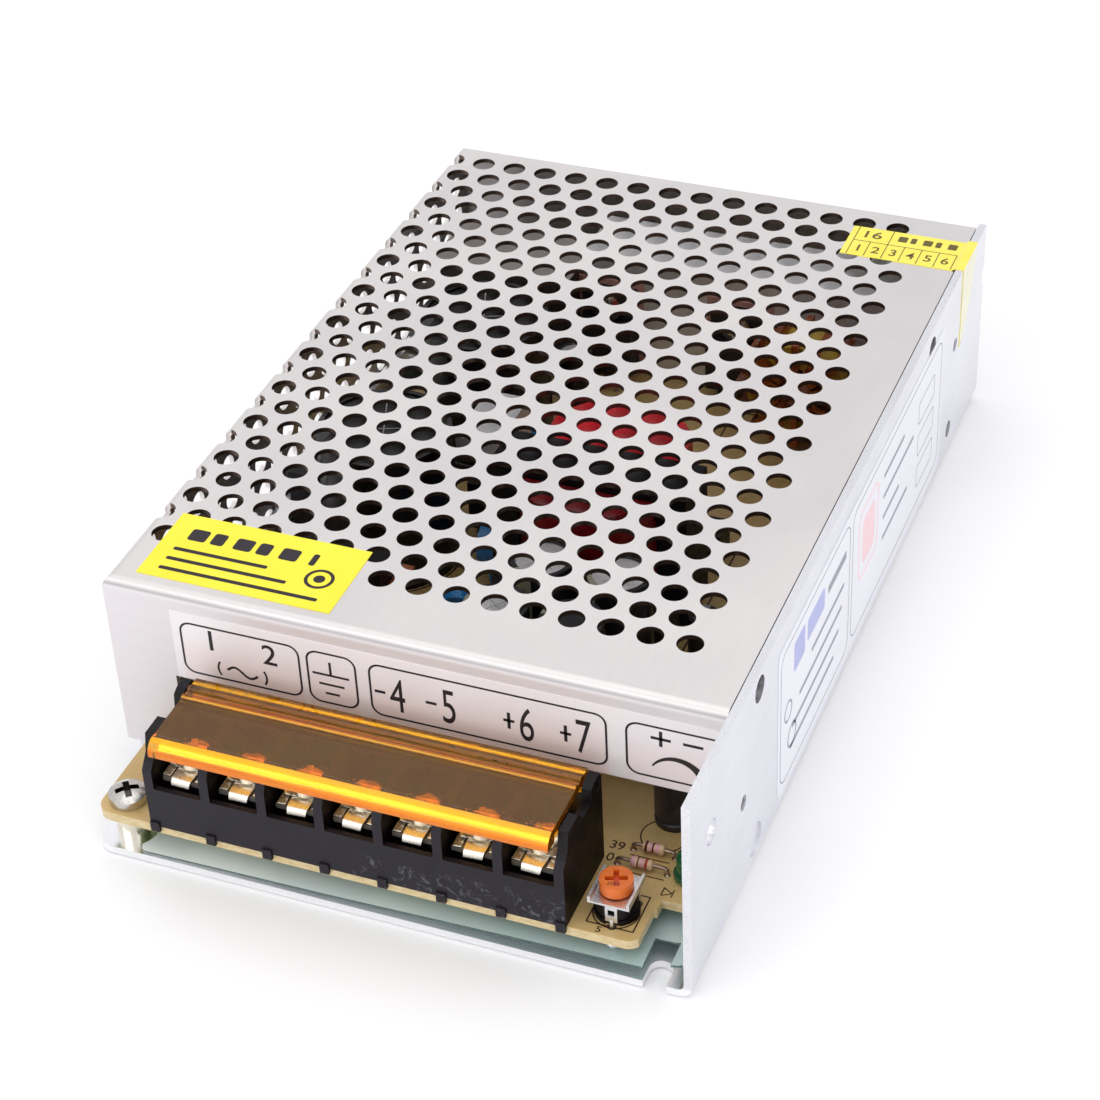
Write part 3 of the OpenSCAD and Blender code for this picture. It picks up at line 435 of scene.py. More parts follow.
def mat_rotor():
    m = Mat("orange_moulding", sss=0.0, coat=0.25, coat_rough=0.2)
    n = m.noise(1.6, 3, 0.5)
    f = m.noise(0.2, 3, 0.6)
    c = m.ramp(n, (0.3, srgb(212, 96, 10)), (0.7, srgb(230, 114, 20)))
    # red paint in the cross
    deep = m.math("MULTIPLY", m.rng(m.xyz(2), 1.0, 0.0, 0.01318, 0.0133), m.near(36.4, -72.9, 1.9, 0.1))
    c = m.mix(m.math("MULTIPLY", deep, 0.7), c, srgb(206, 60, 16))
    m.set(color=c, rough=m.rng(n, 0.3, 0.42), normal=m.bump(f, 0.08, 0.02))
    return m


def mat_box():
    """film capacitor: pale top, dark moulded sides"""
    m = Mat("grey_box", spec=0.4)
    n = m.noise(5, 3, 0.5)
    f = m.noise(0.35, 3, 0.6)
    side = m.ramp(n, (0.3, srgb(46, 44, 44)), (0.7, srgb(58, 55, 54)))
    top = m.ramp(n, (0.3, srgb(168, 160, 158)), (0.7, srgb(182, 174, 171)))
    m.set(color=m.mix(m.rng(m.nrm(2), 0.0, 1.0, 0.5, 0.8), side, top), rough=m.rng(n, 0.4, 0.55), normal=m.bump(f, 0.12, 0.02))
    return m


def mat_ink(name, rgb):
    m = Mat(name, spec=0.3)
    n = m.noise(1.1, 3, 0.6)
    lo = srgb(*rgb)
    hi = srgb(*(min(255, v + 12) for v in rgb))
    m.set(color=m.ramp(n, (0.3, lo), (0.7, hi)), rough=m.rng(n, 0.45, 0.6), normal=m.bump(n, 0.05, 0.01))
    return m


def mat_bands():
    """resistor coating: beige lacquer, mottled"""
    return mat_plastic("resistor_coat", srgb(206, 168, 128), srgb(222, 188, 150), 0.25, 0.35, 1.0, 0.2, coat=0.4, coat_rough=0.15)


MATS["sheet_aluminium"] = mat_sheet()
MATS["cover_aluminium"] = mat_cover()
MATS["film"] = mat_film()
MATS["laminate"] = mat_laminate()
MATS["nickel_plate"] = mat_metal("nickel_plate", srgb(226, 218, 200), srgb(246, 240, 226), 0.14, 0.28, 0.8, srgb(150, 138, 118))
MATS["clamp_plate"] = mat_metal("clamp_plate", srgb(222, 216, 205), srgb(244, 239, 228), 0.22, 0.34, 0.8, srgb(120, 110, 94))
MATS["clamp_plate"].set(metal=0.74)
MATS["contact_plate"] = mat_metal("contact_plate", srgb(112, 106, 100), srgb(138, 132, 124), 0.42, 0.56, 0.8, srgb(70, 62, 54))
MATS["contact_plate"].set(metal=0.6)
MATS["screw_plate"] = mat_screw()
MATS["tin_plate"] = mat_metal("tin_plate", srgb(206, 205, 206), srgb(232, 231, 232), 0.22, 0.42, 0.5, srgb(110, 108, 110))
MATS["white_label"] = mat_white_label("white_label", pink=True)
MATS["side_label"] = mat_white_label("side_label_film", (233, 233, 240), (238, 238, 245))
MATS["yellow_label"] = mat_yellow()
MATS["gold_label"] = mat_seal()
MATS["black_moulding"] = mat_block()
MATS["amber_moulding"] = mat_amber()
MATS["orange_moulding"] = mat_rotor()
MATS["green_lens"] = mat_led()
MATS["resistor_coat"] = mat_bands()
MATS["diode_epoxy"] = mat_plastic("diode_epoxy", srgb(36, 34, 36), srgb(48, 46, 47), 0.4, 0.55, 1.5, 0.25)
MATS["white_ceramic"] = mat_plastic("white_ceramic", srgb(222, 218, 208), srgb(234, 231, 222), 0.15, 0.25, 3, 0.4, coat=0.5, coat_rough=0.08)
MATS["olive_epoxy"] = mat_plastic("olive_epoxy", srgb(66, 78, 34), srgb(84, 96, 46), 0.35, 0.5, 2.5, 0.4, 0.3, 0.05)
MATS["grey_box"] = mat_box()
MATS["ferrite"] = mat_plastic("ferrite", srgb(20, 19, 20), srgb(34, 33, 35), 0.42, 0.6, 3, 0.2, 0.3, 0.04, spec=0.3)
MATS["enamelled_copper"] = mat_windings("enamelled_copper", srgb(152, 74, 34), srgb(190, 104, 52), (0.05, 0.05, 1))
MATS["black_epoxy"] = mat_plastic("black_epoxy", srgb(34, 33, 36), srgb(46, 45, 48), 0.45, 0.6, 2, 0.2, 0.25, 0.03)
MATS["bobbin_moulding"] = mat_plastic("bobbin_moulding", srgb(38, 34, 33), srgb(52, 47, 45), 0.4, 0.55, 3, 0.3)
MATS["red_tape"] = mat_tape()
MATS["blue_epoxy"] = mat_plastic("blue_epoxy", srgb(34, 120, 190), srgb(52, 148, 222), 0.18, 0.3, 2, 0.7, 0.25, 0.08, coat=0.5, coat_rough=0.08)
MATS["yellow_coat"] = mat_plastic("yellow_coat", srgb(196, 160, 52), srgb(216, 182, 72), 0.3, 0.45, 2, 0.4, 0.2, 0.04)
MATS["heat_sink_aluminium"] = mat_metal("heat_sink_aluminium", srgb(232, 232, 234), srgb(248, 248, 250), 0.36, 0.5, 2.5, srgb(176, 176, 178))
MATS["heat_sink_aluminium"].set(metal=0.45)
MATS["pink_pad"] = mat_plastic("pink_pad", srgb(206, 150, 140), srgb(220, 168, 158), 0.6, 0.75, 2, 0.3)
MATS["white_epoxy"] = mat_plastic("white_epoxy", srgb(214, 212, 204), srgb(228, 226, 218), 0.45, 0.6, 2, 0.25)
T = math.radians
BULK = [(-25, 30), (-27.5, -6)]
OUTC = [(6.8, -24.2), (19.4, -24.2), (4.3, -37), (16.5, -37)]
SMALLC = [(38, -52.4, 6.3, 11), (-6, -51, 6.3, 11), (31, -19, 5, 11), (-14, 43, 6.3, 12), (40, 22, 5, 11)]
MATS["bulk_sleeve"] = mat_cans("black_sleeve_bulk", [(x, y, 10.2, 32.5, T(200)) for x, y in BULK], (14, 13, 15), (84, 84, 88), tops=0)
MATS["out_sleeve"] = mat_cans("black_sleeve_out", [(x, y, 4.2, 27.5, T(250 - 30 * i)) for i, (x, y) in enumerate(OUTC)], (28, 28, 36), (176, 172, 150), tops=3)
MATS["small_sleeve"] = mat_cans("black_sleeve_small", [(x, y, d / 2 - 0.8, 7.5 + h, T(100)) for x, y, d, h in SMALLC], (26, 22, 26))
MATS["lead"] = mat_metal("dull_lead", srgb(150, 128, 112), srgb(186, 166, 150), 0.3, 0.5, 0.6)
MATS["solder"] = mat_metal("solder", srgb(206, 206, 210), srgb(236, 236, 240), 0.14, 0.3, 1.2)
MATS["ink"] = mat_ink("black_ink", (38, 32, 36))
MATS["ink_grey"] = mat_ink("grey_ink", (150, 150, 160))
MATS["ink_blue"] = mat_ink("blue_ink", (176, 180, 222))
MATS["ink_red"] = mat_ink("pink_ink", (240, 208, 212))
MATS["ink_silk"] = mat_ink("brown_ink", (58, 34, 22))
MATS["ink_olive"] = mat_ink("olive_ink", (96, 84, 34))
MATS["band_dark"] = mat_ink("dark_band", (78, 18, 24))
MATS["band_pink"] = mat_ink("pink_band", (214, 160, 166))
MATS["band_red"] = mat_ink("red_band", (160, 30, 34))
MATS["band_silver"] = mat_ink("silver_band", (176, 176, 178))

SLOTMAT = dict(
    chassis="sheet_aluminium", cover="cover_aluminium", insulating_film="film", circuit_board="laminate",
    board_standoffs="nickel_plate", board_screws="screw_plate", cover_screws="nickel_plate", front_label="white_label",
    yellow_label="yellow_label", seal_label="gold_label", side_label="side_label", terminal_block="black_moulding",
    terminal_contacts="contact_plate", terminal_clamps="nickel_plate", terminal_screws="nickel_plate",
    terminal_cover="amber_moulding", trimmer_base="black_moulding", trimmer_frame="tin_plate", trimmer_rotor="orange_moulding",
    indicator_led="green_lens", small_resistors="resistor_coat", small_diodes="diode_epoxy", small_capacitors="small_sleeve",
    fuse="white_ceramic", fuse_clips="tin_plate", inrush_thermistor="olive_epoxy", filter_capacitor="grey_box",
    choke_core="ferrite", choke_windings="enamelled_copper", bridge_rectifier="black_epoxy", bulk_capacitors="bulk_sleeve",
    transformer_core="ferrite", transformer_bobbin="bobbin_moulding", transformer_winding="red_tape",
    disc_capacitors="blue_epoxy", output_capacitors="out_sleeve", inductor_core="yellow_coat",
    inductor_winding="enamelled_copper", small_heat_sink="heat_sink_aluminium", back_heat_sink="heat_sink_aluminium",
    power_transistors="black_epoxy", insulating_pads="pink_pad", transistor_screws="nickel_plate",
    control_chip="black_epoxy", optocoupler="white_epoxy")
for n, o in NODES.items():
    mt = MATS[SLOTMAT[n]].m
    o.data.materials.clear()
    o.data.materials.append(mt)
    for p in o.data.polygons:
        p.material_index = 0


# ------------------------------------------------------------------ mesh code
class Build:
    """Closed solids in millimetres, each face with its own material."""

    def __init__(self, name, slot, *mats, body="case", smooth=None):
        self.name, self.slot, self.body, self.smooth = name, slot, body, smooth
        self.mats = mats
        self.bm = bmesh.new()

    def _solid(self, rings, mi=0, M=None, close=False, caps=True):
        """rings: lists of points with equal counts, joined in order"""
        M = M or Matrix.Identity(4)
        vs = [[self.bm.verts.new(M @ Vector(p)) for p in r] for r in rings]
        n = len(rings[0])
        fs = []
        pairs = list(zip(vs, vs[1:])) + ([(vs[-1], vs[0])] if close else [])
        for a, b in pairs:
            for i in range(n):
                j = (i + 1) % n
                q = [a[i], a[j], b[j], b[i]]
                q = [v for k, v in enumerate(q) if v not in q[:k]]
                if len(q) > 2:
                    fs.append(self.bm.faces.new(q))
        if caps and not close:
            fs.append(self.bm.faces.new(list(reversed(vs[0]))))
            fs.append(self.bm.faces.new(vs[-1]))
        for f in fs:
            f.material_index = mi
        return fs

    def lathe(self, prof, M=None, seg=20, mi=0, mis=None):
        """prof: (r, z) from bottom to top, both ends at r = 0 or capped"""
        rings = []
        for r, z in prof:
            rings.append([(r * math.cos(2 * math.pi * k / seg), r * math.sin(2 * math.pi * k / seg), z) for k in range(seg)])
        fs = self._solid(rings, mi, M)
        if mis:
            for k, m in enumerate(mis):
                for f in fs[k * seg:(k + 1) * seg]:
                    f.material_index = m
        return fs

    def prism(self, loop, z0, z1, M=None, mi=0, ch=0.0):
        """loop: (x, y) points counter-clockwise; ch is a small chamfer on both ends"""
        if ch:
            small = inset(loop, ch)
            rings = [[(x, y, z0) for x, y in small], [(x, y, z0 + ch) for x, y in loop], [(x, y, z1 - ch) for x, y in loop], [(x, y, z1) for x, y in small]]
        else:
            rings = [[(x, y, z0) for x, y in loop], [(x, y, z1) for x, y in loop]]
        return self._solid(rings, mi, M)

    def ring(self, outer, inner, z0, z1, M=None, mi=0):
        M = M or Matrix.Identity(4)
        n = len(outer)
        mk = lambda loop, z: [self.bm.verts.new(M @ Vector((x, y, z))) for x, y in loop]
        a, b, c, d = mk(outer, z0), mk(outer, z1), mk(inner, z1), mk(inner, z0)
        for i in range(n):
            j = (i + 1) % n
            for p, q in ((a, b), (b, c), (c, d), (d, a)):
                f = self.bm.faces.new([p[i], p[j], q[j], q[i]])
                f.material_index = mi

    def tube(self, pts, r, seg=10, mi=0, M=None, flat=1.0):
        """a round wire along points, ends capped"""
        pts = [Vector(p) for p in pts]
        rings = []
        up = None
        for i, p in enumerate(pts):
            d = ((pts[min(i + 1, len(pts) - 1)] - p).normalized() + (p - pts[max(i - 1, 0)]).normalized()).normalized()
            if up is None:
                up = d.orthogonal().normalized()
            up = (up - d * up.dot(d)).normalized()
            side = d.cross(up)
            rr = r[i] if isinstance(r, (list, tuple)) else r
            rings.append([tuple(p + (up * math.cos(2 * math.pi * k / seg) + side * flat * math.sin(2 * math.pi * k / seg)) * rr) for k in range(seg)])
        return self._solid(rings, mi, M)

    def add_text(self, txt, x, y, h, M, z0, z1, mi=0, sx=1.0, rot=0.0, bold=0.0):
        cu = bpy.data.curves.new("t", "FONT")
        cu.body = txt
        cu.size = 1.0
        cu.align_x = "CENTER"
        cu.align_y = "CENTER"
        cu.offset = bold
        cu.resolution_u = 6
        cu.extrude = 0.5
        ob = bpy.data.objects.new("t", cu)
        bpy.context.scene.collection.objects.link(ob)
        dg = bpy.context.evaluated_depsgraph_get()
        me = bpy.data.meshes.new_from_object(ob.evaluated_get(dg))
        xs, ys = [v.co.x for v in me.vertices], [v.co.y for v in me.vertices]
        s = h / (max(ys) - min(ys))
        me.transform(Matrix.Translation((-(max(xs) + min(xs)) / 2, -(max(ys) + min(ys)) / 2, 0)))
        L = Matrix.Translation((x, y, (z0 + z1) / 2)) @ Matrix.Rotation(rot, 4, "Z") @ Matrix.Diagonal((s * sx, s, z1 - z0, 1))
        me.transform(M @ L)
        n0 = len(self.bm.faces)
        self.bm.from_mesh(me)
        self.bm.faces.ensure_lookup_table()
        for f in self.bm.faces[n0:]:
            f.material_index = mi
        bpy.data.objects.remove(ob, do_unlink=True)
        bpy.data.curves.remove(cu)
        bpy.data.meshes.remove(me)

    def done(self, weld=0.0005, replaces=None, bevel=0.0):
        bm = self.bm
        bmesh.ops.remove_doubles(bm, verts=bm.verts, dist=weld)
        bmesh.ops.recalc_face_normals(bm, faces=bm.faces)
        me = bpy.data.meshes.new(self.name)
        bm.to_mesh(me)
        bm.free()
        me.transform(Matrix.Scale(MM, 4))
        for mt in self.mats:
            me.materials.append(MATS[mt].m)
        ob = bpy.data.objects.new(self.name, me)
        bpy.context.scene.collection.objects.link(ob)
        if self.smooth is not None:
            for p in me.polygons:
                p.use_smooth = True
            es = me.edges
            bm2 = bmesh.new()
            bm2.from_mesh(me)
            for e in bm2.edges:
                e.smooth = not (len(e.link_faces) == 2 and e.calc_face_angle(0) > math.radians(self.smooth))
            bm2.to_mesh(me)
            bm2.free()
        if bevel:
            md = ob.modifiers.new("bevel", "BEVEL")
            md.width = bevel * MM
            md.segments = 2
            md.limit_method = "ANGLE"
            md.angle_limit = math.radians(40)
        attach(ob, self.body)
        if replaces:
            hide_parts(replaces)
        return ob


def inset(loop, d):
    n = len(loop)
    out = []
    for i in range(n):
        p, a, b = Vector(loop[i]), Vector(loop[i - 1]), Vector(loop[(i + 1) % n])
        e1, e2 = (p - a).normalized(), (b - p).normalized()
        n1, n2 = Vector((-e1.y, e1.x)), Vector((-e2.y, e2.x))
        m = (n1 + n2)
        m = m / max(m.length_squared, 1e-9) * 2
        q = p + m * d * 1.0 / max(0.35, 1.0)
        out.append((q.x, q.y))
    return out


def rrect(x0, y0, x1, y1, r, k=6):
    pts = []
    for cx, cy, a0 in ((x1 - r, y0 + r, -90), (x1 - r, y1 - r, 0), (x0 + r, y1 - r, 90), (x0 + r, y0 + r, 180)):
        for i in range(k + 1):
            a = math.radians(a0 + 90 * i / k)
            pts.append((cx + r * math.cos(a), cy + r * math.sin(a)))
    return pts


def circ(x, y, r, k=32):
    return [(x + r * math.cos(2 * math.pi * i / k), y + r * math.sin(2 * math.pi * i / k)) for i in range(k)]


def plane(o, u, v):
    """matrix from plane millimetres to frame millimetres"""
    u, v = Vector(u).normalized(), Vector(v).normalized()
    n = u.cross(v)
    M = Matrix((u, v, n)).transposed().to_4x4()
    M.translation = Vector(o)
    return M


class Print(Build):
    """thin ink on a plane"""

    def __init__(self, name, M, *mats, t=0.014, sink=0.01, slot=None):
        super().__init__(name, slot, *mats)
        self.M, self.z0, self.z1 = M, -sink, t

    def box(self, x0, y0, x1, y1, mi=0):
        self.prism([(x0, y0), (x1, y0), (x1, y1), (x0, y1)], self.z0, self.z1, self.M, mi)

    def outline(self, x0, y0, x1, y1, r, w, mi=0):
        self.ring(rrect(x0, y0, x1, y1, r), rrect(x0 + w, y0 + w, x1 - w, y1 - w, max(r - w, 0.05)), self.z0, self.z1, self.M, mi)

    def field(self, x0, y0, x1, y1, r, mi=0):
        self.prism(rrect(x0, y0, x1, y1, r), self.z0, self.z1, self.M, mi)

    def circle(self, x, y, r, w, mi=0, k=40):
        self.ring(circ(x, y, r, k), circ(x, y, r - w, k), self.z0, self.z1, self.M, mi)

    def disc(self, x, y, r, mi=0):
        self.prism(circ(x, y, r), self.z0, self.z1, self.M, mi)

    def line(self, pts, w, mi=0, taper=None):
        """a stroke with mitred joints; taper gives the end width"""
        pts = [Vector(p) for p in pts]
        n = len(pts)
        L, R = [], []
        for i, p in enumerate(pts):
            a = (p - pts[i - 1]).normalized() if i else (pts[1] - p).normalized()
            b = (pts[i + 1] - p).normalized() if i < n - 1 else a
            m = Vector((-(a.y + b.y), a.x + b.x))
            m = m / max(m.length_squared, 0.3) * 2
            ww = w if taper is None else w + (taper - w) * i / (n - 1)
            L.append((p.x + m.x * ww / 2, p.y + m.y * ww / 2))
            R.append((p.x - m.x * ww / 2, p.y - m.y * ww / 2))
        for i in range(n - 1):
            self.prism([R[i], R[i + 1], L[i + 1], L[i]], self.z0, self.z1, self.M, mi)

    def arc(self, x, y, r, a0, a1, w, mi=0, k=24, taper=None):
        self.line([(x + r * math.cos(math.radians(a0 + (a1 - a0) * i / k)), y + r * math.sin(math.radians(a0 + (a1 - a0) * i / k))) for i in range(k + 1)], w, mi, taper)

    def text(self, s, x, y, h, mi=0, sx=1.0, rot=0.0, bold=0.0):
        self.add_text(s, x, y, h, self.M, self.z0, self.z1, mi, sx, rot, bold)


# ---- front label: outlines, way numbers and terminal symbols
P = Print("front_label_print", plane((0, -59.02, 0), (1, 0, 0), (0, 0, 1)), "ink")
for a, b in ((-37.3, -17.6), (-16.6, -8.5), (-6.6, 30.3)):
    P.outline(a, 20.8, b, 30.5, 1.9, 0.34)
P.line([(47.7, 30.33)] + [(35.0 + 1.83 * math.cos(math.radians(t)), 28.5 + 1.83 * math.sin(math.radians(t))) for t in range(90, 181, 15)]
       + [(35.0 + 1.83 * math.cos(math.radians(t)), 22.8 + 1.83 * math.sin(math.radians(t))) for t in range(180, 271, 15)] + [(47.7, 20.97)], 0.34)
P.text("1", -32.2, 27.9, 3.7, sx=1.0, bold=0.006)
P.text("2", -22.6, 27.6, 3.7, sx=1.0, bold=0.006)
P.line([(-30.0 + 5.0 * i / 20, 22.9 + 0.75 * math.sin(2 * math.pi * i / 20)) for i in range(21)], 0.42)
P.arc(-29.3, 22.9, 2.2, 145, 215, 0.34)
P.arc(-25.7, 22.9, 2.2, -35, 35, 0.34)
P.line([(-12.75, 28.8), (-12.75, 26.3)], 0.4)
P.line([(-15.7, 26.3), (-9.8, 26.3)], 0.4)
P.line([(-14.8, 24.5), (-10.7, 24.5)], 0.4)
P.line([(-13.9, 22.8), (-11.6, 22.8)], 0.4)
for x, d, s in ((-2.2, "4", 0), (5.9, "5", 0), (18.0, "6", 1), (26.7, "7", 1)):
    P.text(d, x, 25.4, 6.2, sx=0.58)
    P.line([(x - 3.6, 25.4), (x - 1.9, 25.4)], 0.5)
    if s:
        P.line([(x - 2.75, 26.9), (x - 2.75, 23.9)], 0.5)
P.line([(36.8, 28.3), (39.8, 28.3)], 0.5)
P.line([(38.3, 29.7), (38.3, 26.9)], 0.5)
P.line([(41.6, 28.3), (44.6, 28.3)], 0.5)
P.arc(40.6, 20.9, 4.2, 150, 30, 0.25, taper=1.3)
P.done()

# ---- yellow sticker: plain bars and a disc
P = Print("yellow_label_print", plane((0, 0, 35.4), (1, 0, 0), (0, 1, 0)), "ink")
for i, w in enumerate((3.0, 2.2, 3.0, 2.2, 3.0)):
    P.field(-41.8 + i * 3.8, -46.4, -41.8 + i * 3.8 + w, -43.6, 0.5)
P.field(-21.6, -46.4, -20.6, -43.6, 0.4)
for y, b in ((-48.9, -27.0), (-51.3, -22.8), (-53.7, -16.6)):
    P.field(-42.6, y - 0.38, b, y + 0.38, 0.3)
P.circle(-18.4, -49.0, 2.3, 0.55)
P.disc(-18.4, -49.0, 0.9)
P.done()

# ---- seal: date grid with numbers
a = math.radians(-2.0)
P = Print("seal_label_print", plane((28.0, 62.9, 35.4), (math.cos(a) * 1.0, 0.0, 0), (0, 1, 0)), "ink_olive")
P.line([(0.9, 0.2), (0.9, 9.9)], 0.16)
P.line([(0.9, 5.0), (19.4, 5.0)], 0.16)
for i in range(1, 7):
    P.line([(0.9 + 3.06 * i, 0.3), (0.9 + 3.06 * i, 5.0)], 0.16)
P.line([(7.0, 5.0), (7.0, 9.8)], 0.16)
for i in range(6):
    P.text("1234567"[i], 2.45 + 3.06 * i, 2.6, 2.1, sx=1.05, bold=0.012)
P.text("16", 3.9, 7.4, 2.3, sx=1.2, bold=0.012)
for i, w in enumerate((1.6, 1.0, 1.6, 1.0, 1.6)):
    P.field(8.3 + 2.2 * i, 6.5, 8.3 + 2.2 * i + w, 8.3, 0.25)
P.done()

# ---- side label: outlines, thin lines, blue bar and pale red fields
P = Print("side_label_print", plane((49.7, 0, 0), (0, 1, 0), (0, 0, 1)), "ink_grey", "ink_blue", "ink_red")
P.outline(-39.4, 5.2, -4.0, 30.2, 2.4, 0.22)
P.outline(-2.6, 5.2, 50.2, 30.2, 2.4, 0.22)
P.field(-33.0, 22.8, -27.6, 28.2, 0.7, 1)
P.field(-26.4, 23.6, -17.6, 27.6, 0.7, 1)
for i, (x0, x1) in enumerate(((-15.8, -6.2), (-24.0, -7.0), (-30.0, -8.0), (-33.5, -9.5), (-34.5, -12.0))):
    z = (25.4, 20.2, 16.6, 13.0, 9.6)[i]
    P.field(x0, z - (0.75 if i == 0 else 0.4), x1, z + (0.75 if i == 0 else 0.4), 0.3, 0)
P.circle(-33.6, 11.6, 2.2, 0.4, 0)
P.circle(-35.6, 17.6, 1.9, 0.4, 0)
P.outline(1.0, 14.0, 12.0, 27.5, 1.8, 0.5, 2)
P.field(3.0, 16.2, 10.0, 25.2, 1.5, 2)
for i, (x0, x1) in enumerate(((15.0, 27.0), (15.0, 33.0), (15.0, 24.5), (15.0, 30.0))):
    z = 25.5 - 4.1 * i
    P.field(x0, z - 0.4, x1, z + 0.4, 0.3, 0)
for i in range(3):
    P.outline(36.0, 8.6 + 6.4 * i, 46.0, 13.0 + 6.4 * i, 0.8, 0.22, 0)
P.done()

# ---- board print
P = Print("board_print", plane((0, 0, 7.5), (1, 0, 0), (0, 1, 0)), "ink_silk", t=0.012, sink=0.008)
P.outline(32.9, -76.5, 40.1, -69.0, 0.1, 0.24)
P.circle(36.4, -73.3, 3.45, 0.24)
P.text("5", 35.2, -77.35, 1.15, sx=1.1, bold=0.01)
P.circle(37.6, -56.6, 3.5, 0.22)
P.text("39", 31.9, -60.5, 1.7, bold=0.01)
P.text("0", 31.7, -63.1, 1.7, bold=0.01)
P.line([(41.2, -68.2), (41.2, -66.6), (42.6, -67.4), (41.2, -68.2)], 0.2)
P.line([(42.7, -68.2), (42.7, -66.6)], 0.2)
P.line([(34.2, -61.7), (40.2, -61.7)], 0.2)
P.line([(33.4, -65.2), (40.6, -65.2)], 0.2)
P.outline(-41.9, -58.0, -37.1, -33.0, 0.5, 0.25)
P.circle(-24, -52, 5.9, 0.25)
P.circle(8, -43, 5.5, 0.25)
for x, y in OUTC[:3]:
    P.circle(x, y, 5.5, 0.25)
for x, y in BULK:
    P.circle(x, y, 11.6, 0.3, k=48)
P.outline(-8.2, -21.0, 26.4, 17.6, 0.6, 0.3)
P.outline(13.0, 40.0, 41.0, 50.4, 0.6, 0.3)
P.outline(22.0, -46.6, 34.0, -37.4, 0.4, 0.25)
for x, y, s in ((-18, -38, "1"), (-38, -20, "2"), (20, -56, "3"), (3, -57, "4"), (30, -27, "5"), (-36, 12.5, "6"), (-2, 30, "7"), (34, 30, "8")):
    P.text(s, x, y, 1.7, bold=0.01)
P.done()

# ---- trimmer: small dark marks on the rotor
P = Print("trimmer_marks", plane((36.4, -72.9, 13.7), (1, 0, 0), (0, 1, 0)), "ink_silk", t=0.01, sink=0.01)
P.body = "rotor"
for i in range(4):
    P.line([(-0.75 + 0.45 * i, -1.75 + 0.12 * i), (-0.55 + 0.45 * i, -1.35 + 0.12 * i)], 0.13)
P.line([(-0.8, -1.25), (0.9, -0.85)], 0.08)
P.done()

# ---- clamp plates of the terminals: two thin pressed plates and a front tongue
XW = [-29.35, -20.2, -11.05, -1.9, 7.25, 16.4, 25.55]
YC = -72.1


def plate(B, M, half, y0, y1, zf, t, hole, mi=0, nx=16):
    """a pressed plate: rows across x follow zf(x, y); a round hole is left in the middle"""
    seg = 28
    inner = [(hole * math.cos(2 * math.pi * k / seg), hole * math.sin(2 * math.pi * k / seg)) for k in range(seg)]
    outer = []
    for k in range(seg):
        a = 2 * math.pi * k / seg
        c, s = math.cos(a), math.sin(a)
        f = min(half / abs(c) if abs(c) > 1e-6 else 1e9, (y1 if s > 0 else -y0) / abs(s) if abs(s) > 1e-6 else 1e9)
        outer.append((c * f, s * f))
    lv = [0.0, 0.3, 0.6, 0.85, 1.0]
    mk = lambda dz: [[B.bm.verts.new(M @ Vector((i[0] + (o[0] - i[0]) * l, i[1] + (o[1] - i[1]) * l, zf(i[0] + (o[0] - i[0]) * l, i[1] + (o[1] - i[1]) * l) + dz)))
                      for i, o in zip(inner, outer)] for l in lv]
    top, bot = mk(t), mk(0.0)
    for a in range(len(lv) - 1):
        for i in range(seg):
            j = (i + 1) % seg
            B.bm.faces.new([top[a][i], top[a + 1][i], top[a + 1][j], top[a][j]])
            B.bm.faces.new([bot[a][i], bot[a][j], bot[a + 1][j], bot[a + 1][i]])
    for i in range(seg):
        j = (i + 1) % seg
        B.bm.faces.new([top[-1][i], bot[-1][i], bot[-1][j], top[-1][j]])
        B.bm.faces.new([top[0][i], top[0][j], bot[0][j], bot[0][i]])


B = Build("terminal_clamp_plates", "nickel_plate", "clamp_plate", smooth=35)
for i, x in enumerate(XW):
    tw = math.radians((i % 3 - 1) * 2.5 + 1.0)
    M = Matrix.Translation((x, YC, 0)) @ Matrix.Rotation(tw, 4, "Z")
    plate(B, M, 3.35, -1.9, 3.2, lambda px, py: 15.84 + 0.16 * max(0.0, (-py - 1.0) / 1.0), 0.22, 1.75)
    M2 = Matrix.Translation((x, YC, 0)) @ Matrix.Rotation(tw * 2.2 + math.radians(2.0), 4, "Z")
    plate(B, M2, 3.2, -2.35, 2.9, lambda px, py: 16.33 + 0.30 * max(0.0, (abs(px) - 1.5) / 1.7) ** 1.6, 0.24, 1.75)
    # legs at the front corners and the bent tongue between them
    for x0, x1 in ((-3.35, -2.1), (2.0, 3.4)):
        B.prism([(x0, -4.15), (x1, -4.15), (x1, -1.6), (x0, -1.6)], 15.86, 16.1, M, ch=0.05)
    tongue = [(-1.3, 16.24), (-3.2, 16.26), (-4.25, 16.2), (-4.62, 16.02), (-4.86, 15.62), (-4.98, 15.02)]
    rows = []
    for k, (y, z) in enumerate(tongue):
        a, b = (y - tongue[max(k - 1, 0)][0], z - tongue[max(k - 1, 0)][1]), (tongue[min(k + 1, 5)][0] - y, tongue[min(k + 1, 5)][1] - z)
        d = Vector((a[0] + b[0], a[1] + b[1])).normalized()
        ny, nz = d.y * 0.24, -d.x * 0.24
        xr = 1.62 - 0.10 * max(0, k - 1)
        rows.append([(-1.62, y, z), (xr, y, z), (xr, y - ny, z - nz), (-1.62, y - ny, z - nz)])
    B._solid(rows, 0, M)
B.done(replaces="terminal_clamps")

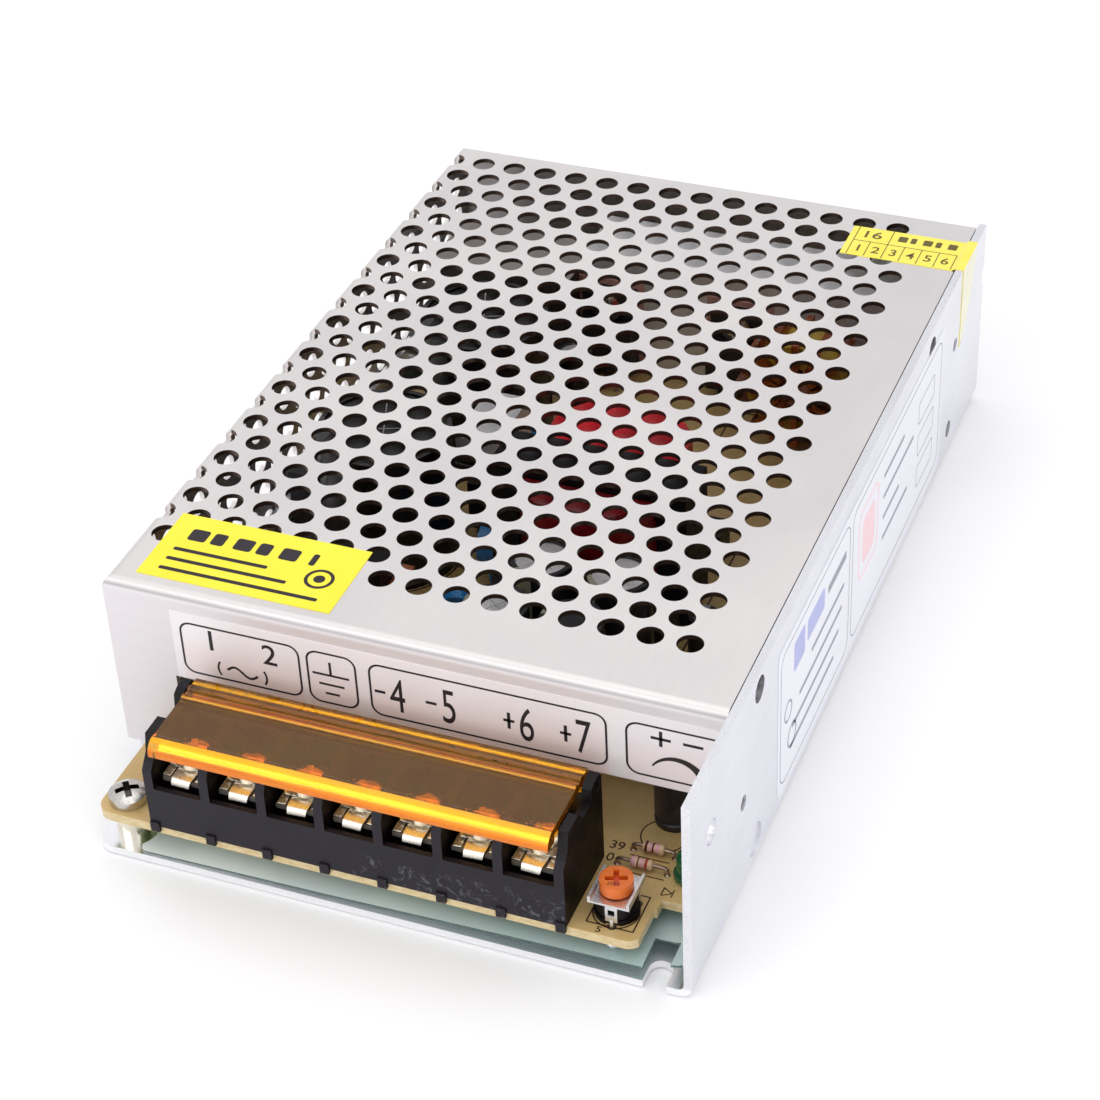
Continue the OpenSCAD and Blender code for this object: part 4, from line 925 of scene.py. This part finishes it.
# ---- resistors: dog-bone bodies with bands and bent leads
RES = [[37.5, -60.5, 3.4, 1.7, 6.4], [36.9, -64, 3.4, 1.7, 7.6], [12, -53.5, 6, 2.3, 10], [-20, -44.5, 6, 2.3, 10], [-14, 50, 6, 2.3, 10], [38, 5, 6, 2.3, 10], [38, -8, 6, 2.3, 10], [20, -49.5, 3.4, 1.7, 6.4]]
B = Build("banded_resistors", "resistor_coat", "resistor_coat", "band_dark", "band_pink", "band_red", "lead", smooth=50)
for k, (x, y, ln, d, span) in enumerate(RES):
    z = 7.5 + d / 2 + 0.3
    r = d / 2
    M = Matrix.Translation((x, y, z)) @ Matrix.Rotation(math.radians(90), 4, "Y")
    h = ln / 2
    q = r * 0.84
    cuts = [-h, -h * 0.94, -h * 0.72, -h * 0.5, -h * 0.36, -h * 0.24, -h * 0.1, h * 0.06, h * 0.2, h * 0.34, h * 0.56, h * 0.76, h * 0.94, h]
    rad = [r * 0.35, r * 0.8, r, r * 0.96, q, q, q, q, q, q, r * 0.96, r, r * 0.8, r * 0.35]
    cols = ([0, 2, 2, 0, 1, 0, 2, 2, 0, 3, 0, 0, 0] if k == 1 else [0, 0, 1, 0, 2, 2, 1, 0, 2, 2, 0, 0, 0])
    B.lathe(list(zip(rad, cuts)), M, 24, 0, cols)
    e = span / 2
    for s in (-1, 1):
        B.tube([(x + s * (h - 0.2), y, z), (x + s * (h + (e - h) * 0.45), y, z), (x + s * (e - 0.25), y, z - 0.05), (x + s * (e - 0.03), y, z - 0.3),
                (x + s * e, y, z - 0.7), (x + s * e, y, 7.45), (x + s * e, y, 4.55)], 0.3, 12, 4)
        B.lathe([(0.5, 7.5), (0.42, 7.62), (0.3, 7.7)], Matrix.Translation((x + s * e, y, 0)), 12, 4)
B.done(replaces="small_resistors")

# ---- diodes: body with cathode band and bent leads
B = Build("banded_diodes", "diode_epoxy", "diode_epoxy", "band_silver", "lead", smooth=40)
for x, y, ln, d, span in ([-36, 12.5, 7, 3.2, 11], [-2, 36, 7, 3.2, 11], [38, -1.5, 5, 2.7, 9]):
    z = 7.5 + d / 2 + 0.3
    r = d / 2
    h = ln / 2
    M = Matrix.Translation((x, y, z)) @ Matrix.Rotation(math.radians(90), 4, "Y")
    B.lathe([(r * 0.9, -h), (r, -h + 0.15), (r, h * 0.5), (r, h * 0.78), (r, h - 0.15), (r * 0.9, h)], M, 28, 0, [0, 0, 1, 0, 0])
    e = span / 2
    for s in (-1, 1):
        B.tube([(x + s * (h - 0.2), y, z), (x + s * (e - 0.5), y, z), (x + s * (e - 0.1), y, z - 0.2), (x + s * e, y, z - 0.7), (x + s * e, y, 4.55)], 0.3, 12, 2)
B.done(replaces="small_diodes")

# ---- solder cones under the board
B = Build("solder_joints", "tin_plate", "solder", smooth=40)
JOINTS = [(x, -68.1) for x in XW] + [(x + s * 1.25, y) for x, y, d, h in SMALLC for s in (-1, 1)]
JOINTS += [(x + s * sp / 2, y) for x, y, _, _, sp in RES for s in (-1, 1)]
JOINTS += [(x + s * 5, y) for x, y in BULK for s in (-1, 1)] + [(x + s * 2.5, y) for x, y in OUTC for s in (-1, 1)]
JOINTS += [(9 + a, -2 + s * 13) for a in (-12.5, -7.5, -2.5, 2.5, 7.5, 12.5) for s in (-1, 1)]
JOINTS += [(-43.2, a) for a in (-5.7, -1.9, 1.9, 5.7)] + [(x + a, 54.2) for x in (-12, 12) for a in (-2.54, 0, 2.54)]
for k, (x, y) in enumerate(JOINTS):
    s = 1.25 if k < 7 else 0.95
    B.lathe([(0.12, 4.55), (0.42 * s, 4.75), (0.62 * s, 5.2), (1.05 * s, 5.78), (1.2 * s, 5.905)], Matrix.Translation((x, y, 0)), 14)
B.lathe([(0.1, 4.4), (0.75, 4.6), (1.15, 5.1), (1.2, 5.6), (0.9, 5.905)], Matrix.Translation((37.2, -76.9, 0)), 16)
B.done()

# ---- vents pressed into the can tops
B = Build("can_vents", None, "band_silver", smooth=None)
for x, y in BULK:
    for k in range(2):
        M = Matrix.Translation((x, y, 32.15)) @ Matrix.Rotation(math.radians(20 + 90 * k), 4, "Z")
        B.prism([(-7.5, -0.1), (7.5, -0.1), (7.5, 0.1), (-7.5, 0.1)], -0.02, 0.03, M)
for x, y in OUTC[:3]:
    for k in range(2):
        M = Matrix.Translation((x, y, 27.15)) @ Matrix.Rotation(math.radians(50 + 90 * k), 4, "Z")
        B.prism([(-3.0, -0.07), (3.0, -0.07), (3.0, 0.07), (-3.0, 0.07)], -0.02, 0.03, M)
B.done()

# ---- thread turns inside the tapped holes of the floor
B = Build("tapped_threads", "sheet_aluminium", "sheet_aluminium", smooth=30)
for x, y in ((-30, -50), (30, -50), (-30, 50), (30, 50)):
    for k in range(3):
        z = 0.3 + 0.38 * k
        B.ring(circ(x, y, 1.3, 24), circ(x, y, 1.12, 24), z, z + 0.14)
for y, z in ((-56.4, 17.4), (59.9, 22.7)):
    M = plane((48.45, y, z), (0, 1, 0), (0, 0, 1))
    for k in range(3):
        B.ring(circ(0, 0, 1.3, 24), circ(0, 0, 1.12, 24), 0.1 + 0.36 * k, 0.24 + 0.36 * k, M)
B.done()

# ------------------------------------------------------------------ edges of the CAD parts
def soften(node, width, seg=2, angle=35, weld=True):
    o = NODES[node]
    if weld:
        w = o.modifiers.new("weld", "WELD")
        w.merge_threshold = 1e-6
    b = o.modifiers.new("bevel", "BEVEL")
    b.width = width * MM
    b.segments = seg
    b.limit_method = "ANGLE"
    b.angle_limit = math.radians(angle)
    b.harden_normals = False


for n, w in (("terminal_block", 0.14), ("circuit_board", 0.05), ("terminal_contacts", 0.06), ("trimmer_frame", 0.06),
             ("trimmer_base", 0.10), ("filter_capacitor", 0.3), ("bridge_rectifier", 0.25), ("transformer_bobbin", 0.15),
             ("power_transistors", 0.12), ("control_chip", 0.08), ("optocoupler", 0.08)):
    soften(n, w)

# ------------------------------------------------------------------ setting
def floor_material():
    m = Mat("pale_floor", spec=0.2)
    n = m.noise(180, 3, 0.5)
    m.set(color=m.ramp(n, (0.3, (0.955, 0.955, 0.957)), (0.7, (0.965, 0.965, 0.967))), rough=m.rng(n, 0.75, 0.85))
    return m.m


me = bpy.data.meshes.new("floor")
S = 3.0
me.from_pydata([(-S, -S, -0.0002), (S, -S, -0.0002), (S, S, -0.0002), (-S, S, -0.0002)], [], [(0, 1, 2, 3)])
me.materials.append(floor_material())
floor = bpy.data.objects.new("floor", me)
bpy.context.scene.collection.objects.link(floor)

world = bpy.data.worlds.new("soft_light")
bpy.context.scene.world = world
world.use_nodes = True
wt = world.node_tree
bg = wt.nodes["Background"]
tc = wt.nodes.new("ShaderNodeTexCoord")
sp = wt.nodes.new("ShaderNodeSeparateXYZ")
wt.links.new(tc.outputs["Generated"], sp.inputs[0])
rp = wt.nodes.new("ShaderNodeValToRGB")
rp.color_ramp.elements[0].position = 0.0
rp.color_ramp.elements[0].color = (0.82, 0.82, 0.84, 1)
rp.color_ramp.elements[1].position = 0.9
rp.color_ramp.elements[1].color = (0.98, 0.98, 1.0, 1)
wt.links.new(sp.outputs[2], rp.inputs[0])
wt.links.new(rp.outputs[0], bg.inputs[0])
bg.inputs[1].default_value = 1.0


def area(name, loc, target, size, power, color=(1, 1, 1)):
    li = bpy.data.lights.new(name, "AREA")
    li.shape = "RECTANGLE"
    li.size, li.size_y = size
    li.energy = power
    li.color = color
    ob = bpy.data.objects.new(name, li)
    ob.location = loc
    ob.rotation_mode = "QUATERNION"
    ob.rotation_quaternion = (Vector(target) - Vector(loc)).to_track_quat("-Z", "Y")
    bpy.context.scene.collection.objects.link(ob)
    return ob


area("key", (-0.35, -0.75, 0.75), (0, 0, 0.02), (0.7, 0.5), 1.5)
area("fill", (0.75, -0.35, 0.45), (0, 0, 0.02), (0.6, 0.6), 0.5)
area("front", (-0.35, -1.0, 0.24), (-0.01, -0.06, 0.02), (0.8, 0.35), 1.3)
area("top", (0.0, 0.15, 1.0), (0, 0, 0), (0.9, 0.9), 1.4)

cam_data = bpy.data.cameras.new("camera")
cam = bpy.data.objects.new("camera", cam_data)
bpy.context.scene.collection.objects.link(cam)
right = Vector((0.93059306, 0.36377524, -0.04079371))
down = Vector((0.18896073, -0.57283275, -0.79759418))
fwd = Vector((-0.31351299, 0.73452721, -0.60181342))
Mc = Matrix((right, -down, -fwd)).transposed().to_4x4()
Mc.translation = Vector((0.138663, -0.330406, 0.280580))
cam.matrix_world = Mc
cam_data.lens = 89.70
cam_data.sensor_width = 36.0
cam_data.sensor_fit = "HORIZONTAL"
cam_data.shift_x = 0.00107
cam_data.shift_y = -0.00233
cam_data.clip_start, cam_data.clip_end = 0.01, 20
bpy.context.scene.camera = cam
bpy.context.scene.view_settings.view_transform = "Standard"
bpy.context.scene.view_settings.look = "None"

bpy.context.view_layer.update()
